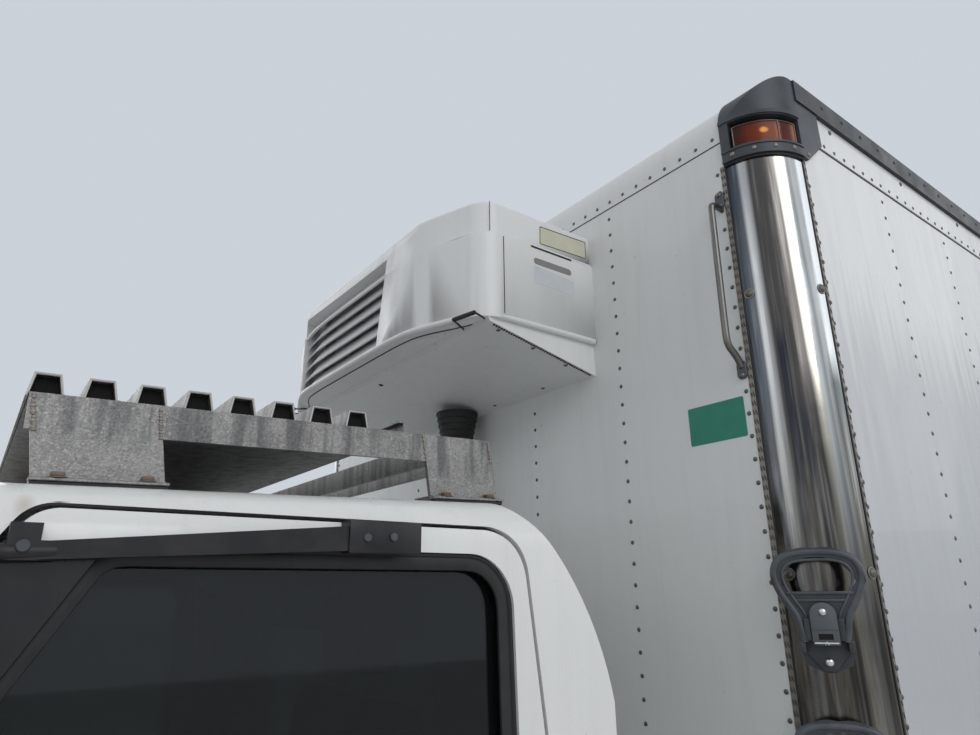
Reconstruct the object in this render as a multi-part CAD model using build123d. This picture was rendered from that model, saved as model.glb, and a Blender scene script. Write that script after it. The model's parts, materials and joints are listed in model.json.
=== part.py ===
from build123d import *
from math import cos, sin, radians, sqrt
import os

os.makedirs("parts", exist_ok=True)

# Refrigerated delivery truck: hooded day cab, riveted insulated box and nose-mounted cooling unit.
# Millimetres. +X forward, +Y to the driver's left, +Z up, origin on the ground at the truck's centre.

# Lengths along the truck
bumper_to_axle = 1078.0
axle_to_cab_back = 1651.0
cab_gap = 421.0
box_length = 6096.0
dock_bumper_depth = 54.0
wheelbase = 5590.0
overall_length = bumper_to_axle + axle_to_cab_back + cab_gap + box_length + dock_bumper_depth
bumper_x = overall_length / 2
front_axle_x = bumper_x - bumper_to_axle
rear_axle_x = front_axle_x - wheelbase
cab_back_x = front_axle_x - axle_to_cab_back
box_front_x = cab_back_x - cab_gap
box_rear_x = box_front_x - box_length

# Running gear
tyre_r = 506.0
tyre_w = 275.0
rim_r = 286.0
rim_w = 210.0
rim_wall = 14.0
seat_gap = 0.3
front_wheel_y = 1030.0
dual_mid_y = 914.0
dual_spacing = 315.0
kingpin_y = 860.0
kingpin_r = 22.0
spindle_r = 38.0
rear_spindle_r = 50.0
running_gap = 0.3
hub_r = 105.0

# Frame
frame_top_z = 980.0
rail_h = 260.0
rail_flange = 75.0
rail_web = 10.0
rail_outer_y = 432.0
rail_front_x = bumper_x - 210.0
rail_rear_x = box_rear_x + 96.0

# Insulated box
box_half_w = 1219.0
wall_t = 90.0
front_wall_t = 100.0
sill_h = 90.0
crossmember_h = 75.0
floor_t = 65.0
floor_top_z = frame_top_z + sill_h + crossmember_h + floor_t
roof_top_z = 3466.0
roof_t = 84.0
rail_band_z = roof_top_z - 54.0
rail_lip = 6.0
rail_overhang = 12.0
post_r = 128.0
front_top_r = 122.0
cap_bottom_z = roof_top_z - 220.0
cap_proud = 8.0
cap_side_reach = 99.0
rear_frame_depth = 100.0
wall_bottom_z = frame_top_z + sill_h + 40.0

# Rear doors
rear_door_t = 80.0
rear_post_w = 55.0
header_h = 106.0
door_gap = 6.0
hinge_pin_out = 22.0
hinge_pin_r = 11.0
hinge_barrel_r = 17.0

# Cab
cab_floor_z = 1050.0
cab_half_w = 1036.0
cab_wall = 60.0
roof_slope = 0.032
tilt_x = bumper_x - 90.0
tilt_z = 700.0
hood_r = 1556.0
cab_front_r = 1570.0
belt_z = 1640.0
door_rear_x = cab_back_x + 154.0
door_front_x = cab_back_x + 1084.0
door_top_z = cab_floor_z + 1301.0
door_shut_gap = 6.0
door_hinge_x = door_front_x - 4.0
door_hinge_y = cab_half_w + 12.0
door_hinge_r = 9.0
door_hinge_z = (1200.0, 1450.0)
pillar_slope = 0.59
cab_corner_r = 40.0
glass_t = 6.0

# Hood
hood_wall = 14.0
hood_pin_r = 12.0
hood_lug_r = 22.0
bumper_top_z = 655.0
bumper_bottom_z = 425.0
bumper_skin = 8.0
hood_bottom_z = 715.0
arch_r = 575.0
fender_y = 1160.0

# Cooling unit on the nose of the box
unit_half_w = 622.0
unit_depth = 487.0
unit_side_depth = 391.0
unit_flat_half_w = 330.0
unit_lean = 30.0
unit_top_z = roof_top_z - 204.0
unit_waist_z = unit_top_z - 100.0
unit_waist_step = 9.0
unit_bottom_z = unit_top_z - 342.0
pan_front_z = unit_bottom_z - 12.0
pan_wall_z = unit_bottom_z - 93.0

# Service platform on the cab roof
platform_y = cab_half_w - 122.0
platform_front_x = box_front_x + 1301.0
platform_rear_x = box_front_x + 598.0
platform_h = 109.0
plank_pitch = 61.0
plank_count = 8
plank_h = 31.0
leg_lean = 15.0

# Folding corner steps
step_pitch = 304.8
step_hinge_z = 2178.0
step_count = 4
step_azimuth = 30.0
step_reach = 149.0
step_half_w = 83.0


def block(x0, x1, y0, y1, z0, z1):
    return Pos((x0 + x1) / 2, (y0 + y1) / 2, (z0 + z1) / 2) * Box(abs(x1 - x0), abs(y1 - y0), abs(z1 - z0))


def rod_y(x, z, r, y0, y1):
    return Pos(x, (y0 + y1) / 2, z) * Rot(90, 0, 0) * Cylinder(r, abs(y1 - y0))


def rod_z(x, y, r, z0, z1):
    return Pos(x, y, (z0 + z1) / 2) * Cylinder(r, abs(z1 - z0))


def side_prism(face, y0, y1):
    return Pos(0, y0, 0) * extrude(face, amount=y1 - y0, dir=(0, 1, 0))


def polygon_xz(points):
    return make_face(Polyline(*[(x, 0, z) for x, z in points], close=True))


def polygon_xy(points):
    return make_face(Polyline(*[(x, y, 0) for x, y in points], close=True))


def mirrored(shape):
    return mirror(shape, about=Plane.XZ)


def pair(shape):
    return [shape, mirrored(shape)]


def save(name, shapes):
    solids = []
    for shape in shapes if isinstance(shapes, list) else [shapes]:
        solids += list(shape.solids())
    if len(solids) == 1:
        export_step(solids[0], f"parts/{name}.step")
    else:
        export_step(Compound(children=solids), f"parts/{name}.step")


# Ladder frame with cross-members, bumper brackets and tow eyes
tow_eye_r = 19.0
tow_eye_t = 25.0
tow_eye_x = bumper_x - 40.0
tow_eye_z = 372.0
crossmember_x = [rail_front_x - 100, front_axle_x - 1292, box_front_x + 90, box_front_x - 1200, rear_axle_x + 918,
                 rear_axle_x - 782, rail_rear_x + 60]


def ladder_frame():
    y0 = rail_outer_y - rail_flange
    rail = block(rail_rear_x, rail_front_x, y0, rail_outer_y, frame_top_z - rail_h, frame_top_z)
    rail -= block(rail_rear_x - 1, rail_front_x + 1, y0 - 1, rail_outer_y - rail_web,
                  frame_top_z - rail_h + rail_web, frame_top_z - rail_web)
    y1 = rail_outer_y - rail_web - seat_gap
    ties = [block(x - 40, x + 40, -y1, y1, frame_top_z - 150, frame_top_z - rail_web - 10) for x in crossmember_x]
    bracket = block(rail_front_x - 150, bumper_x - bumper_skin - 0.5, y0 + 10, y0 + 35, 560, 640)
    bracket += block(rail_front_x - 150, rail_front_x, y0 + 10, y0 + 35, 560, frame_top_z - rail_h + rail_web)
    eye_y = y0 + 10
    plate = block(rail_front_x - 60, rail_front_x, eye_y, eye_y + tow_eye_t, tow_eye_z - 36, 600)
    plate += block(rail_front_x - 60, tow_eye_x, eye_y, eye_y + tow_eye_t, tow_eye_z - 36, tow_eye_z + 36)
    plate += rod_y(tow_eye_x, tow_eye_z, 36, eye_y, eye_y + tow_eye_t)
    plate -= rod_y(tow_eye_x, tow_eye_z, tow_eye_r, eye_y - 1, eye_y + tow_eye_t + 1)
    bracket += plate
    bracket += block(tilt_x - hood_lug_r, tilt_x + hood_lug_r, y0 + 10, y0 + 35, 600, tilt_z)
    bracket += rod_y(tilt_x, tilt_z, hood_lug_r, y0 + 10, y0 + 35)
    bracket -= rod_y(tilt_x, tilt_z, hood_pin_r + running_gap, y0, y0 + 45)
    for x in (cab_back_x + 130, cab_back_x + 1000):
        bracket += rod_z(x, rail_outer_y - 45, 44, frame_top_z - 5, cab_floor_z)
    return pair(rail + bracket) + ties


# Front bumper, bowed in plan, open to the rear

def bumper_plan(inset):
    points = [(0, -700), (-50, -1080), (-105, -1180), (-205, -1190)]
    points = [(bumper_x + x - inset, y + (inset if i else 0)) for i, (x, y) in enumerate(points)]
    return polygon_xy(points + [(x, -y) for x, y in reversed(points)])


def front_bumper():
    height = bumper_top_z - bumper_bottom_z
    outer = Pos(0, 0, bumper_bottom_z) * extrude(bumper_plan(0), amount=height, dir=(0, 0, 1))
    inner = extrude(bumper_plan(bumper_skin), amount=height - 2 * bumper_skin, dir=(0, 0, 1))
    for side in (-1, 1):
        y0, y1 = side * (rail_outer_y - rail_flange + 8), side * (rail_outer_y - rail_flange + 37)
        outer -= block(tilt_x - hood_lug_r - 2, tilt_x + hood_lug_r + 2, y0, y1, bumper_top_z - 20, bumper_top_z + 1)
    return outer - Pos(-0.01, 0, bumper_bottom_z + bumper_skin) * inner - block(
        bumper_x - 400, bumper_x - 206, -1170, 1170, bumper_bottom_z + bumper_skin, bumper_top_z - bumper_skin)


# Front axle beam, dropped at its middle
beam_drop = 80.0
beam_half_t = 45.0
boss_r = 48.0
boss_half_h = 50.0


def front_axle_beam():
    z = tyre_r
    top = [(-860, z + 40), (-700, z + 40), (-540, z + 40 - beam_drop), (540, z + 40 - beam_drop), (700, z + 40), (860, z + 40)]
    low = [(860, z - 40), (680, z - 40), (530, z - 40 - beam_drop), (-530, z - 40 - beam_drop), (-680, z - 40), (-860, z - 40)]
    face = make_face(Polyline(*[(0, y, zz) for y, zz in top + low], close=True))
    beam = Pos(front_axle_x - beam_half_t, 0, 0) * extrude(face, amount=2 * beam_half_t, dir=(1, 0, 0))
    groove = block(-30, 30, -500, 500, z - beam_drop - 22, z - beam_drop + 22)
    for side in (-1, 1):
        beam -= Pos(front_axle_x + side * beam_half_t, 0, 0) * groove
        boss = rod_z(front_axle_x, side * kingpin_y, boss_r, z - boss_half_h, z + boss_half_h)
        beam += boss
    for side in (-1, 1):
        beam -= rod_z(front_axle_x, side * kingpin_y, kingpin_r + running_gap, z - 80, z + 80)
    return beam


# Steering knuckle: kingpin, yoke, spindle, brake plate and steering arm
def steering_knuckle():
    z = tyre_r
    x = front_axle_x
    knuckle = rod_z(x, kingpin_y, kingpin_r, z - 100, z + 100)
    for z0, z1 in ((z + boss_half_h + 6, z + boss_half_h + 42), (z - boss_half_h - 42, z - boss_half_h - 6)):
        knuckle += rod_z(x, kingpin_y, 46, z0, z1) + block(x - 46, x + 46, kingpin_y, kingpin_y + 92, z0, z1)
    knuckle += block(x - 46, x + 46, kingpin_y + 60, kingpin_y + 92, z - boss_half_h - 42, z + boss_half_h + 42)
    knuckle += rod_y(x, z, 185, kingpin_y + 84, kingpin_y + 100)
    knuckle += rod_y(x, z, spindle_r, kingpin_y + 90, front_wheel_y + 75)
    knuckle += block(x - 190, x - 20, kingpin_y - 30, kingpin_y + 30, z - boss_half_h - 42, z - boss_half_h - 12)
    return knuckle


# Wheels: revolved tyres, disc rims with hand holes and hubs
def ring_profile(points):
    return make_face(Polyline(*[(r, 0, w) for r, w in points], close=True))


def spun(face, x, y):
    ring = revolve(face, axis=Axis.Z, revolution_arc=360)
    return Pos(x, y, tyre_r) * Rot(-90, 0, 0) * ring


def tyre(x, y):
    b = rim_r + seat_gap
    h = tyre_w / 2
    points = [(b, -96), (b, 96), (rim_r + 95, h), (tyre_r - 45, h - 4), (tyre_r - 14, h - 20), (tyre_r, h - 45)]
    points += [(r, -w) for r, w in reversed(points[2:])]
    return spun(ring_profile(points), x, y)


def rim_barrel(x, y):
    h = rim_w / 2
    inner = rim_r - rim_wall
    flange = [(inner - 4, -h - 8), (rim_r + 12, -h - 8), (rim_r + 12, -h + 2), (rim_r, -h + 8), (rim_r, h - 8),
              (rim_r + 12, h - 2), (rim_r + 12, h + 8), (inner - 4, h + 8), (inner - 4, h - 20), (inner, h - 26),
              (inner, -h + 26), (inner - 4, -h + 20)]
    return spun(ring_profile(flange), x, y)


def wheel_disc(x, y, dish, thick):
    outer = rim_r - rim_wall + 2
    profile = [(hub_r - 5, 0), (hub_r + 55, 0), (hub_r + 85, -dish), (outer, -dish - 12), (outer, -dish - 12 - thick),
               (hub_r + 80, -dish - thick), (hub_r + 50, -thick), (hub_r - 5, -thick)]
    disc = spun(ring_profile(profile), x, y)
    for k in range(hand_holes):
        a = radians(360 / hand_holes * k)
        r = hub_r + 118
        disc -= rod_y(x + r * cos(a), tyre_r + r * sin(a), 24, y - 120, y + 120)
    return disc


hand_holes = 10


def front_rim(x, y):
    rim = rim_barrel(x, y) + wheel_disc(x, y + 62, 22, 12)
    rim += rod_y(x, tyre_r, hub_r, y - 66, y + 62) + rod_y(x, tyre_r, 70, y + 60, y + 112)
    rim -= rod_y(x, tyre_r, spindle_r + running_gap, y - 67, y + 80)
    return rim


def rear_rims(x, y):
    half = dual_spacing / 2
    rims = rim_barrel(x, y - half) + rim_barrel(x, y + half)
    outer = wheel_disc(x, y + 12, -60, 12)
    rims += outer + mirror(outer, about=Plane.XZ.offset(-y))
    rims += rod_y(x, tyre_r, hub_r, y - 190, y + 130) + rod_y(x, tyre_r, 78, y + 128, y + 190)
    rims -= rod_y(x, tyre_r, rear_spindle_r + running_gap, y - 191, y + 140)
    return rims


# Rear drive axle and drive shaft
def rear_axle_housing():
    x = rear_axle_x
    housing = rod_y(x, tyre_r, 70, -700, 700)
    bowl = Pos(x, 0, tyre_r) * Rot(0, 90, 0) * Cylinder(205, 170)
    nose = Pos(x + 150, 0, tyre_r) * Rot(0, 90, 0) * Cone(120, 70, 200)
    housing += bowl + nose
    for side in (-1, 1):
        housing += rod_y(x, tyre_r, rear_spindle_r, side * 690, side * (dual_mid_y + 130))
        housing += block(x - 60, x + 60, side * 340, side * 450, tyre_r + 40, tyre_r + 78)
    return housing


shaft_front = (front_axle_x - 1180, 0.0, 765.0)
shaft_r = 50.0


def drive_shaft():
    a = Vector(*shaft_front)
    b = Vector(rear_axle_x + 250, 0, tyre_r)
    d = b - a
    plane = Plane(origin=a, z_dir=d)
    shaft = plane * Pos(0, 0, d.length / 2) * Cylinder(shaft_r, d.length + 60)
    return shaft & block(b.X, a.X, -200, 200, 0, 2000)


# Leaf springs: a curved pack with eyes at each end, hung under the rails
def leaf_pack(x, z_seat, span, rise, y0, y1, thick):
    top = ThreePointArc((x - span, 0, z_seat + rise + thick), (x, 0, z_seat + thick), (x + span, 0, z_seat + rise + thick))
    low = ThreePointArc((x + span, 0, z_seat + rise), (x, 0, z_seat), (x - span, 0, z_seat + rise))
    sides = [Line(top @ 1, low @ 0), Line(low @ 1, top @ 0)]
    return side_prism(make_face([top, sides[0], low, sides[1]]), y0, y1)


def leaf_springs():
    y0, y1 = rail_outer_y - rail_flange, rail_outer_y - rail_flange + 80
    rail_low = frame_top_z - rail_h
    solids = []
    front_seat = tyre_r + 40 - beam_drop
    for x, seat, span, thick in ((front_axle_x, front_seat, 640, 40), (rear_axle_x, tyre_r + 78, 700, 56)):
        rise = rail_low - 80 - seat - thick
        pack = leaf_pack(x, seat, span, max(rise, 18), y0, y1, thick)
        for side in (-1, 1):
            pack += block(x + side * span - 45, x + side * span + 45, y0, y1, seat + max(rise, 18), rail_low)
        solids += pair(pack)
    return solids


# Engine, gearbox and radiator, plain blocks at their real places
def engine_block():
    x = front_axle_x
    engine = block(x - 342, x + 508, -330, 330, 690, 1320) + block(shaft_front[0], x - 332, -220, 220, 690, 930)
    engine += block(x + 498, x + 628, -300, 300, 800, 1240) + block(x + 628, x + 708, -350, 350, 760, 1290)
    for side in (-1, 1):
        engine += block(x - 72, x + 48, side * 320, side * (rail_outer_y - rail_web), 860, 920)
    return engine


# Fuel tanks with the cab steps on them
tank_front_x = cab_back_x + 1009.0
tank_rear_x = cab_back_x + 199.0
tank_outer_y = 950.0


def fuel_tank():
    tank = block(tank_rear_x, tank_front_x, 560, tank_outer_y, 470, 900)
    tank = fillet(tank.edges().filter_by(Axis.X), 70)
    for x in (tank_rear_x + 140, tank_front_x - 200):
        tank += block(x, x + 60, rail_outer_y, 700, 860, 940)
        tank += block(x, x + 60, rail_outer_y, 600, 540, 600) + block(x, x + 60, rail_outer_y, rail_outer_y + 20, 540, 940)
    for z in (500, 790):
        tank += block(tank_rear_x + 180, tank_front_x - 70, tank_outer_y - 20, 1130, z, z + 30)
    for x in (tank_rear_x + 180, tank_front_x - 90):
        tank += block(x, x + 20, tank_outer_y - 20, 1130, 500, 820)
    return tank


# Cab shell from three crossing outlines
def cab_side_face(inset):
    def on_arc(z):
        return tilt_x - sqrt(cab_front_r ** 2 - (z - tilt_z) ** 2)

    z0 = cab_floor_z
    x0 = cab_back_x
    a = Line((x0, 0, z0), (x0, 0, z0 + 950))
    b = ThreePointArc(a @ 1, (x0 + 62, 0, z0 + 1188), (x0 + 255, 0, z0 + 1336 + 45))
    c = Line(b @ 1, (x0 + 880, 0, z0 + 1318 + 45))
    d = ThreePointArc(c @ 1, (x0 + 955, 0, z0 + 1318 + 18), (x0 + 1000, 0, z0 + 1255))
    e = Line(d @ 1, (x0 + 1392, 0, belt_z))
    f = Line(e @ 1, (on_arc(1590.0), 0, 1590.0))
    g = ThreePointArc(f @ 1, (on_arc(1330.0), 0, 1330.0), (on_arc(z0), 0, z0))
    h = Line(g @ 1, a @ 0)
    face = make_face([a, b, c, d, e, f, g, h])
    return face if inset == 0 else offset(face, amount=-inset)


def cab_front_face(inset):
    x = cab_back_x + 1700
    z0 = cab_floor_z - 20
    w = cab_half_w
    left = Polyline((x, -w + 6, z0 - 100), (x, -w, belt_z), (x, -w + 24, z0 + 1240))
    corner = ThreePointArc(left @ 1, (x, -w + 48, z0 + 1297), (x, -w + 110, z0 + 1320))
    crown = ThreePointArc(corner @ 1, (x, 0, z0 + 1366), (x, w - 110, z0 + 1320))
    corner2 = ThreePointArc(crown @ 1, (x, w - 48, z0 + 1297), (x, w - 24, z0 + 1240))
    right = Polyline((x, w - 24, z0 + 1240), (x, w, belt_z), (x, w - 6, z0 - 100))
    base = Line(right @ 1, left @ 0)
    face = make_face([left, corner, crown, corner2, right, base])
    return face if inset == 0 else offset(face, amount=-inset)


def cab_plan_face(inset):
    square_back = 40.0 if inset else 1.0
    x0, x1 = cab_back_x + inset - square_back, cab_back_x + 1500 - inset
    w = cab_half_w + 2 - inset
    face = polygon_xy([(x0, -w), (x1, -w), (x1, w), (x0, w)])
    if not inset:
        face = fillet(face.vertices().sort_by(Axis.X)[:2], cab_corner_r)
    return fillet(face.vertices().sort_by(Axis.X)[-2:], 230 - inset)


def cab_solid(inset):
    side = Pos(0, -1300, 0) * extrude(cab_side_face(inset), amount=2600, dir=(0, 1, 0))
    front = extrude(cab_front_face(inset), amount=2100, dir=(-1, 0, roof_slope))
    plan = Pos(0, 0, 900) * extrude(cab_plan_face(inset), amount=1700, dir=(0, 0, 1))
    return side & front & plan


def door_outline(gap):
    x0, x1 = door_rear_x + gap, door_front_x - gap
    z0, z1 = cab_floor_z + 26 + gap, door_top_z - gap
    top_x = cab_back_x + 863 - gap
    knee_z = z1 - (x1 - top_x) / pillar_slope
    face = polygon_xz([(x0, z0), (x1, z0), (x1, knee_z), (top_x, z1), (x0 + 30, z1), (x0, z1 - 300)])
    return rounded_polygon(face, [((top_x, 0, z1), 45), ((x0 + 30, 0, z1), 80)])


def window_outline(gap):
    x0 = cab_back_x + 210 + gap
    x1 = door_front_x - 70 - gap
    z0, z1 = belt_z + 20 + gap, door_top_z - 43 - gap
    top_x = cab_back_x + 794 - gap
    knee_z = z1 - (x1 - top_x) / pillar_slope
    corners = [(x0, z0, 55), (x1, z0, 55), (x1, knee_z, 55), (top_x, z1, 55), (x0, z1, 80)]
    face = polygon_xz([(x, z) for x, z, r in corners])
    return rounded_polygon(face, [((x, 0, z), r - gap) for x, z, r in corners])


def roof_split_region():
    return polygon_xz([(cab_back_x - 50, cab_floor_z + 1300), (cab_back_x + 1200, cab_floor_z + 1262),
                       (cab_back_x + 1200, cab_floor_z + 1600), (cab_back_x - 50, cab_floor_z + 1600)])


def cab_shell(outer):
    return outer - cab_solid(cab_wall)


door_inner_y = cab_half_w - cab_wall - 30.0


def without_doorways(piece):
    doorway = side_prism(door_outline(0), door_inner_y - 5, 1300)
    return piece - doorway - mirrored(doorway)


def cab_nodes(shell):
    x0, x1 = cab_back_x - 10, cab_back_x + 1500
    back_x, split_x = cab_back_x + 96, door_front_x - 60
    low_z, high_z = cab_floor_z + 60, 2700
    roof_zone = side_prism(roof_split_region(), -1300, 1300)
    for reach, z in ((960, 1150), (400, 925)):
        roof_zone += block(back_x - 6, cab_back_x + reach, -door_inner_y, door_inner_y, cab_floor_z + z, cab_floor_z + 1500)
    pillar = [(split_x, 1900), (split_x - 260, 2280), (split_x - 260, high_z)]
    front_zone = polygon_xz([(x1 + 200, high_z), (x1 + 200, low_z), (split_x, low_z)] + pillar)
    side_zone = polygon_xz([(back_x, high_z), (back_x, low_z), (split_x, low_z)] + pillar)
    walls = shell - roof_zone
    roof = without_doorways(shell & roof_zone)
    floor = without_doorways(shell & block(x0, x1, -1200, 1200, cab_floor_z - 5, low_z))
    back = (walls & block(x0, back_x, -1200, 1200, low_z, high_z)) - block(x0, cab_back_x + 200, -560, 560, 1800, 2210)
    upper = walls & block(back_x, x1, -1200, 1200, low_z, high_z)
    front = without_doorways(upper & side_prism(front_zone, -1300, 1300)) - windscreen_opening(0)
    sides = without_doorways(upper & side_prism(side_zone, -1300, 1300))
    return roof, floor, back, front, sides


def windscreen_opening(gap):
    x0, z0 = cab_back_x + 1000, cab_floor_z + 1255
    x1, z1 = cab_back_x + 1392, belt_z
    dx, dz = (x1 - x0), (z1 - z0)
    length = sqrt(dx * dx + dz * dz)
    ux, uz = dx / length, dz / length
    nx, nz = -uz, ux
    a, b = 34 + gap, length - 46 - gap
    out, back = 140, -95
    corners = [(x0 + ux * s + nx * n, z0 + uz * s + nz * n) for s, n in ((a, back), (b, back), (b, out), (a, out))]
    return side_prism(polygon_xz(corners), -cab_half_w + 66 + gap, cab_half_w - 66 - gap)


def cab_glass():
    layer = cab_solid(20) - cab_solid(20 + glass_t)
    screen = layer & windscreen_opening(seat_gap)
    g = seat_gap
    back = (cab_solid(25) - cab_solid(25 + glass_t)) & block(cab_back_x - 10, cab_back_x + 200, -560 + g, 560 - g, 1800 + g, 2210 - g)
    return [screen, back]


# One half of the door hinges: knuckles on the pin's axis and a leaf on the skin
def hinge_leaves(leaf_x, heights):
    leaves = []
    for z in door_hinge_z:
        for z0, z1 in heights:
            leaves.append(rod_z(door_hinge_x, door_hinge_y, door_hinge_r, z + z0, z + z1))
            leaves.append(block(*leaf_x, cab_half_w - 8, door_hinge_y - 4, z + z0, z + z1))
    return leaves


def door_hinge_halves():
    frame = hinge_leaves((door_hinge_x + 4, door_hinge_x + 70), ((-14, 14),))
    door = hinge_leaves((door_hinge_x - 66, door_hinge_x - 3), ((-45, -19), (19, 45)))
    return frame, door


def cab_door(shell):
    door = shell & side_prism(door_outline(door_shut_gap), door_inner_y, 1300)
    door -= side_prism(window_outline(0), 600, 1300)
    for leaf in door_hinge_halves()[1]:
        door += leaf
    return door


def door_glass():
    layer = cab_solid(26) - cab_solid(26 + glass_t)
    return layer & side_prism(window_outline(seat_gap), 600, 1300)


# Seats and dashboard with the steering wheel
def seats():
    x0 = cab_back_x + 205
    low = cab_floor_z + cab_wall
    base = block(x0 + 130, x0 + 500, -240, 240, low, low + 310)
    cushion = fillet(block(x0 + 110, x0 + 600, -255, 255, low + 300, low + 410).edges(), 30)
    rest = Pos(x0 + 110, 0, low + 390) * Rot(0, -10, 0) * Pos(0, 0, 290) * fillet(Box(110, 480, 600).edges(), 35)
    head = Pos(x0 + 12, 0, 2172) * fillet(Box(90, 280, 165).edges(), 30)
    posts = rod_z(x0 + 12, -60, 8, 2050, 2150) + rod_z(x0 + 12, 60, 8, 2050, 2150)
    seat = base + cushion + rest + head + posts
    return [Pos(0, 500, 0) * seat, Pos(0, -500, 0) * seat]


def dashboard():
    x1 = cab_back_x + 1340
    profile = polygon_xz([(x1 - 330, 1400), (x1 - 60, 1300), (x1 - 10, 1330), (x1 - 20, 1590), (x1 - 200, 1650), (x1 - 330, 1610)])
    dash = side_prism(profile, -cab_half_w + 70, cab_half_w - 70)
    hood = side_prism(polygon_xz([(x1 - 350, 1600), (x1 - 200, 1630), (x1 - 200, 1700), (x1 - 350, 1690)]), 280, 720)
    tilt = Pos(x1 - 470, 500, 1810) * Rot(0, -40, 0)
    rim = tilt * Torus(215, 15)
    spokes = tilt * (Box(420, 40, 16) + Box(40, 420, 16) + Pos(0, 0, -10) * Cylinder(55, 50))
    column = tilt * Pos(0, 0, -125) * Cylinder(30, 250)
    return (dash + hood + rim + spokes + column) & cab_solid(cab_wall + 1)


# Hood with its fenders: one moulding that tilts forward
def rounded_polygon(face, radii):
    for point, r in radii:
        face = fillet(face.vertices().sort_by_distance(Vector(*point))[0], r)
    return face


def hood_outer(inset):
    i = inset
    x = bumper_x - 68
    low = hood_bottom_z - 40
    rear = x - 1700
    brow = (x - 60 - i, 0, 1255 - i)
    top = polygon_xz([(x - i, low), brow[::2], (x - 1300, 1625 - i), (rear, 1632 - i), (rear, low)])
    top = rounded_polygon(top, [(brow, 150 - i)])
    plan = polygon_xy([(x + 10 - i, -520 + i), (x + 10 - i, 520 - i), (rear, 815 - i), (rear, -815 + i)])
    plan = rounded_polygon(plan, [((x + 10 - i, side * (520 - i), 0), 150 - i) for side in (-1, 1)])
    bonnet = side_prism(top, -900, 900) & (Pos(0, 0, 600) * extrude(plan, amount=1200, dir=(0, 0, 1)))
    edges = bonnet.edges().filter_by(lambda e: e.center().Z > 1180 and abs(e.center().Y) > 380 and e.center().X > rear + 10)
    bonnet = fillet(edges, 90 - i)
    nose, crown = (x - 12 - i, 0, 1000 - i), (x - 600, 0, 1195 - i)
    guard = polygon_xz([(x - i, low), nose[::2], crown[::2], (rear, 1195 - i), (rear, low)])
    guard = rounded_polygon(guard, [(nose, 130 - i), (crown, 500 - i)])
    wide = fender_y - i
    corner = (x - 150, wide, 0)
    guard_plan = polygon_xy([(x + 10, 250), (x + 10, 640), corner[:2], (rear, wide), (rear, 250)])
    guard_plan = rounded_polygon(guard_plan, [((x + 10, 640, 0), 200), (corner, 230)])
    guard = side_prism(guard, 300, wide + 50) & (Pos(0, 0, 600) * extrude(guard_plan, amount=1200, dir=(0, 0, 1)))
    return bonnet + guard + mirrored(guard)


def hood_zone():
    return rod_y(tilt_x, tilt_z, hood_r, -1300, 1300) & block(bumper_x - 1750, bumper_x, -1300, 1300, hood_bottom_z, 1900)


grille_half_w = 430.0
grille_z = (770.0, 1100.0)
lamp_y = (650.0, 1085.0)
lamp_z = (790.0, 930.0)


def hood_shell(outer, inner):
    shell = (outer & hood_zone()) - inner
    for side in (-1, 1):
        shell -= rod_y(front_axle_x, tyre_r, arch_r, side * 600, side * 1300)
        shell -= block(bumper_x - 420, bumper_x, side * lamp_y[0], side * lamp_y[1], *lamp_z)
        y = side * (rail_outer_y - rail_flange)
        shell -= rod_y(tilt_x, tilt_z, hood_lug_r + 7, y, y + side * 42)
        shell += block(tilt_x - 16, tilt_x + 12, y + side * 41, y + side * 57, tilt_z - 16, tilt_z + 64)
        shell += rod_y(tilt_x, tilt_z, hood_pin_r, y + side * 4, y + side * 57)
    shell -= block(bumper_x - 200, bumper_x, -grille_half_w, grille_half_w, *grille_z)
    return shell


def hood_grille():
    x = bumper_x - 68
    w = grille_half_w - seat_gap
    z0, z1 = grille_z[0] + seat_gap, grille_z[1] - seat_gap
    frame = block(x - 50, x - 14, -w, w, z0, z1) - block(x - 80, x, -w + 22, w - 22, z0 + 20, z1 - 20)
    count = 8
    step = (z1 - z0 - 40) / count
    for k in range(count):
        z = z0 + 20 + step * (k + 0.5)
        frame += Pos(x - 32, 0, z) * Rot(0, 25, 0) * Box(34, 2 * w - 30, 9)
    for y in (-200, 200):
        frame += block(x - 46, x - 34, y - 8, y + 8, z0 + 5, z1 - 5)
    return frame


def headlamps(outer, inner):
    g = seat_gap
    lens = (outer - inner) & block(bumper_x - 419, bumper_x, lamp_y[0] + g, lamp_y[1] - g, lamp_z[0] + g, lamp_z[1] - g)
    return pair(lens)


# Door mirror: bar above the window on two brackets, arm down to the head, lower stay
mirror_y = cab_half_w + 244.0
mirror_head_x = door_front_x - 15.0


def tube(points, r, bend):
    path = FilletPolyline(*points, radius=bend)
    return sweep(Plane(origin=path @ 0, z_dir=path % 0) * Circle(r), path=path)


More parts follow.
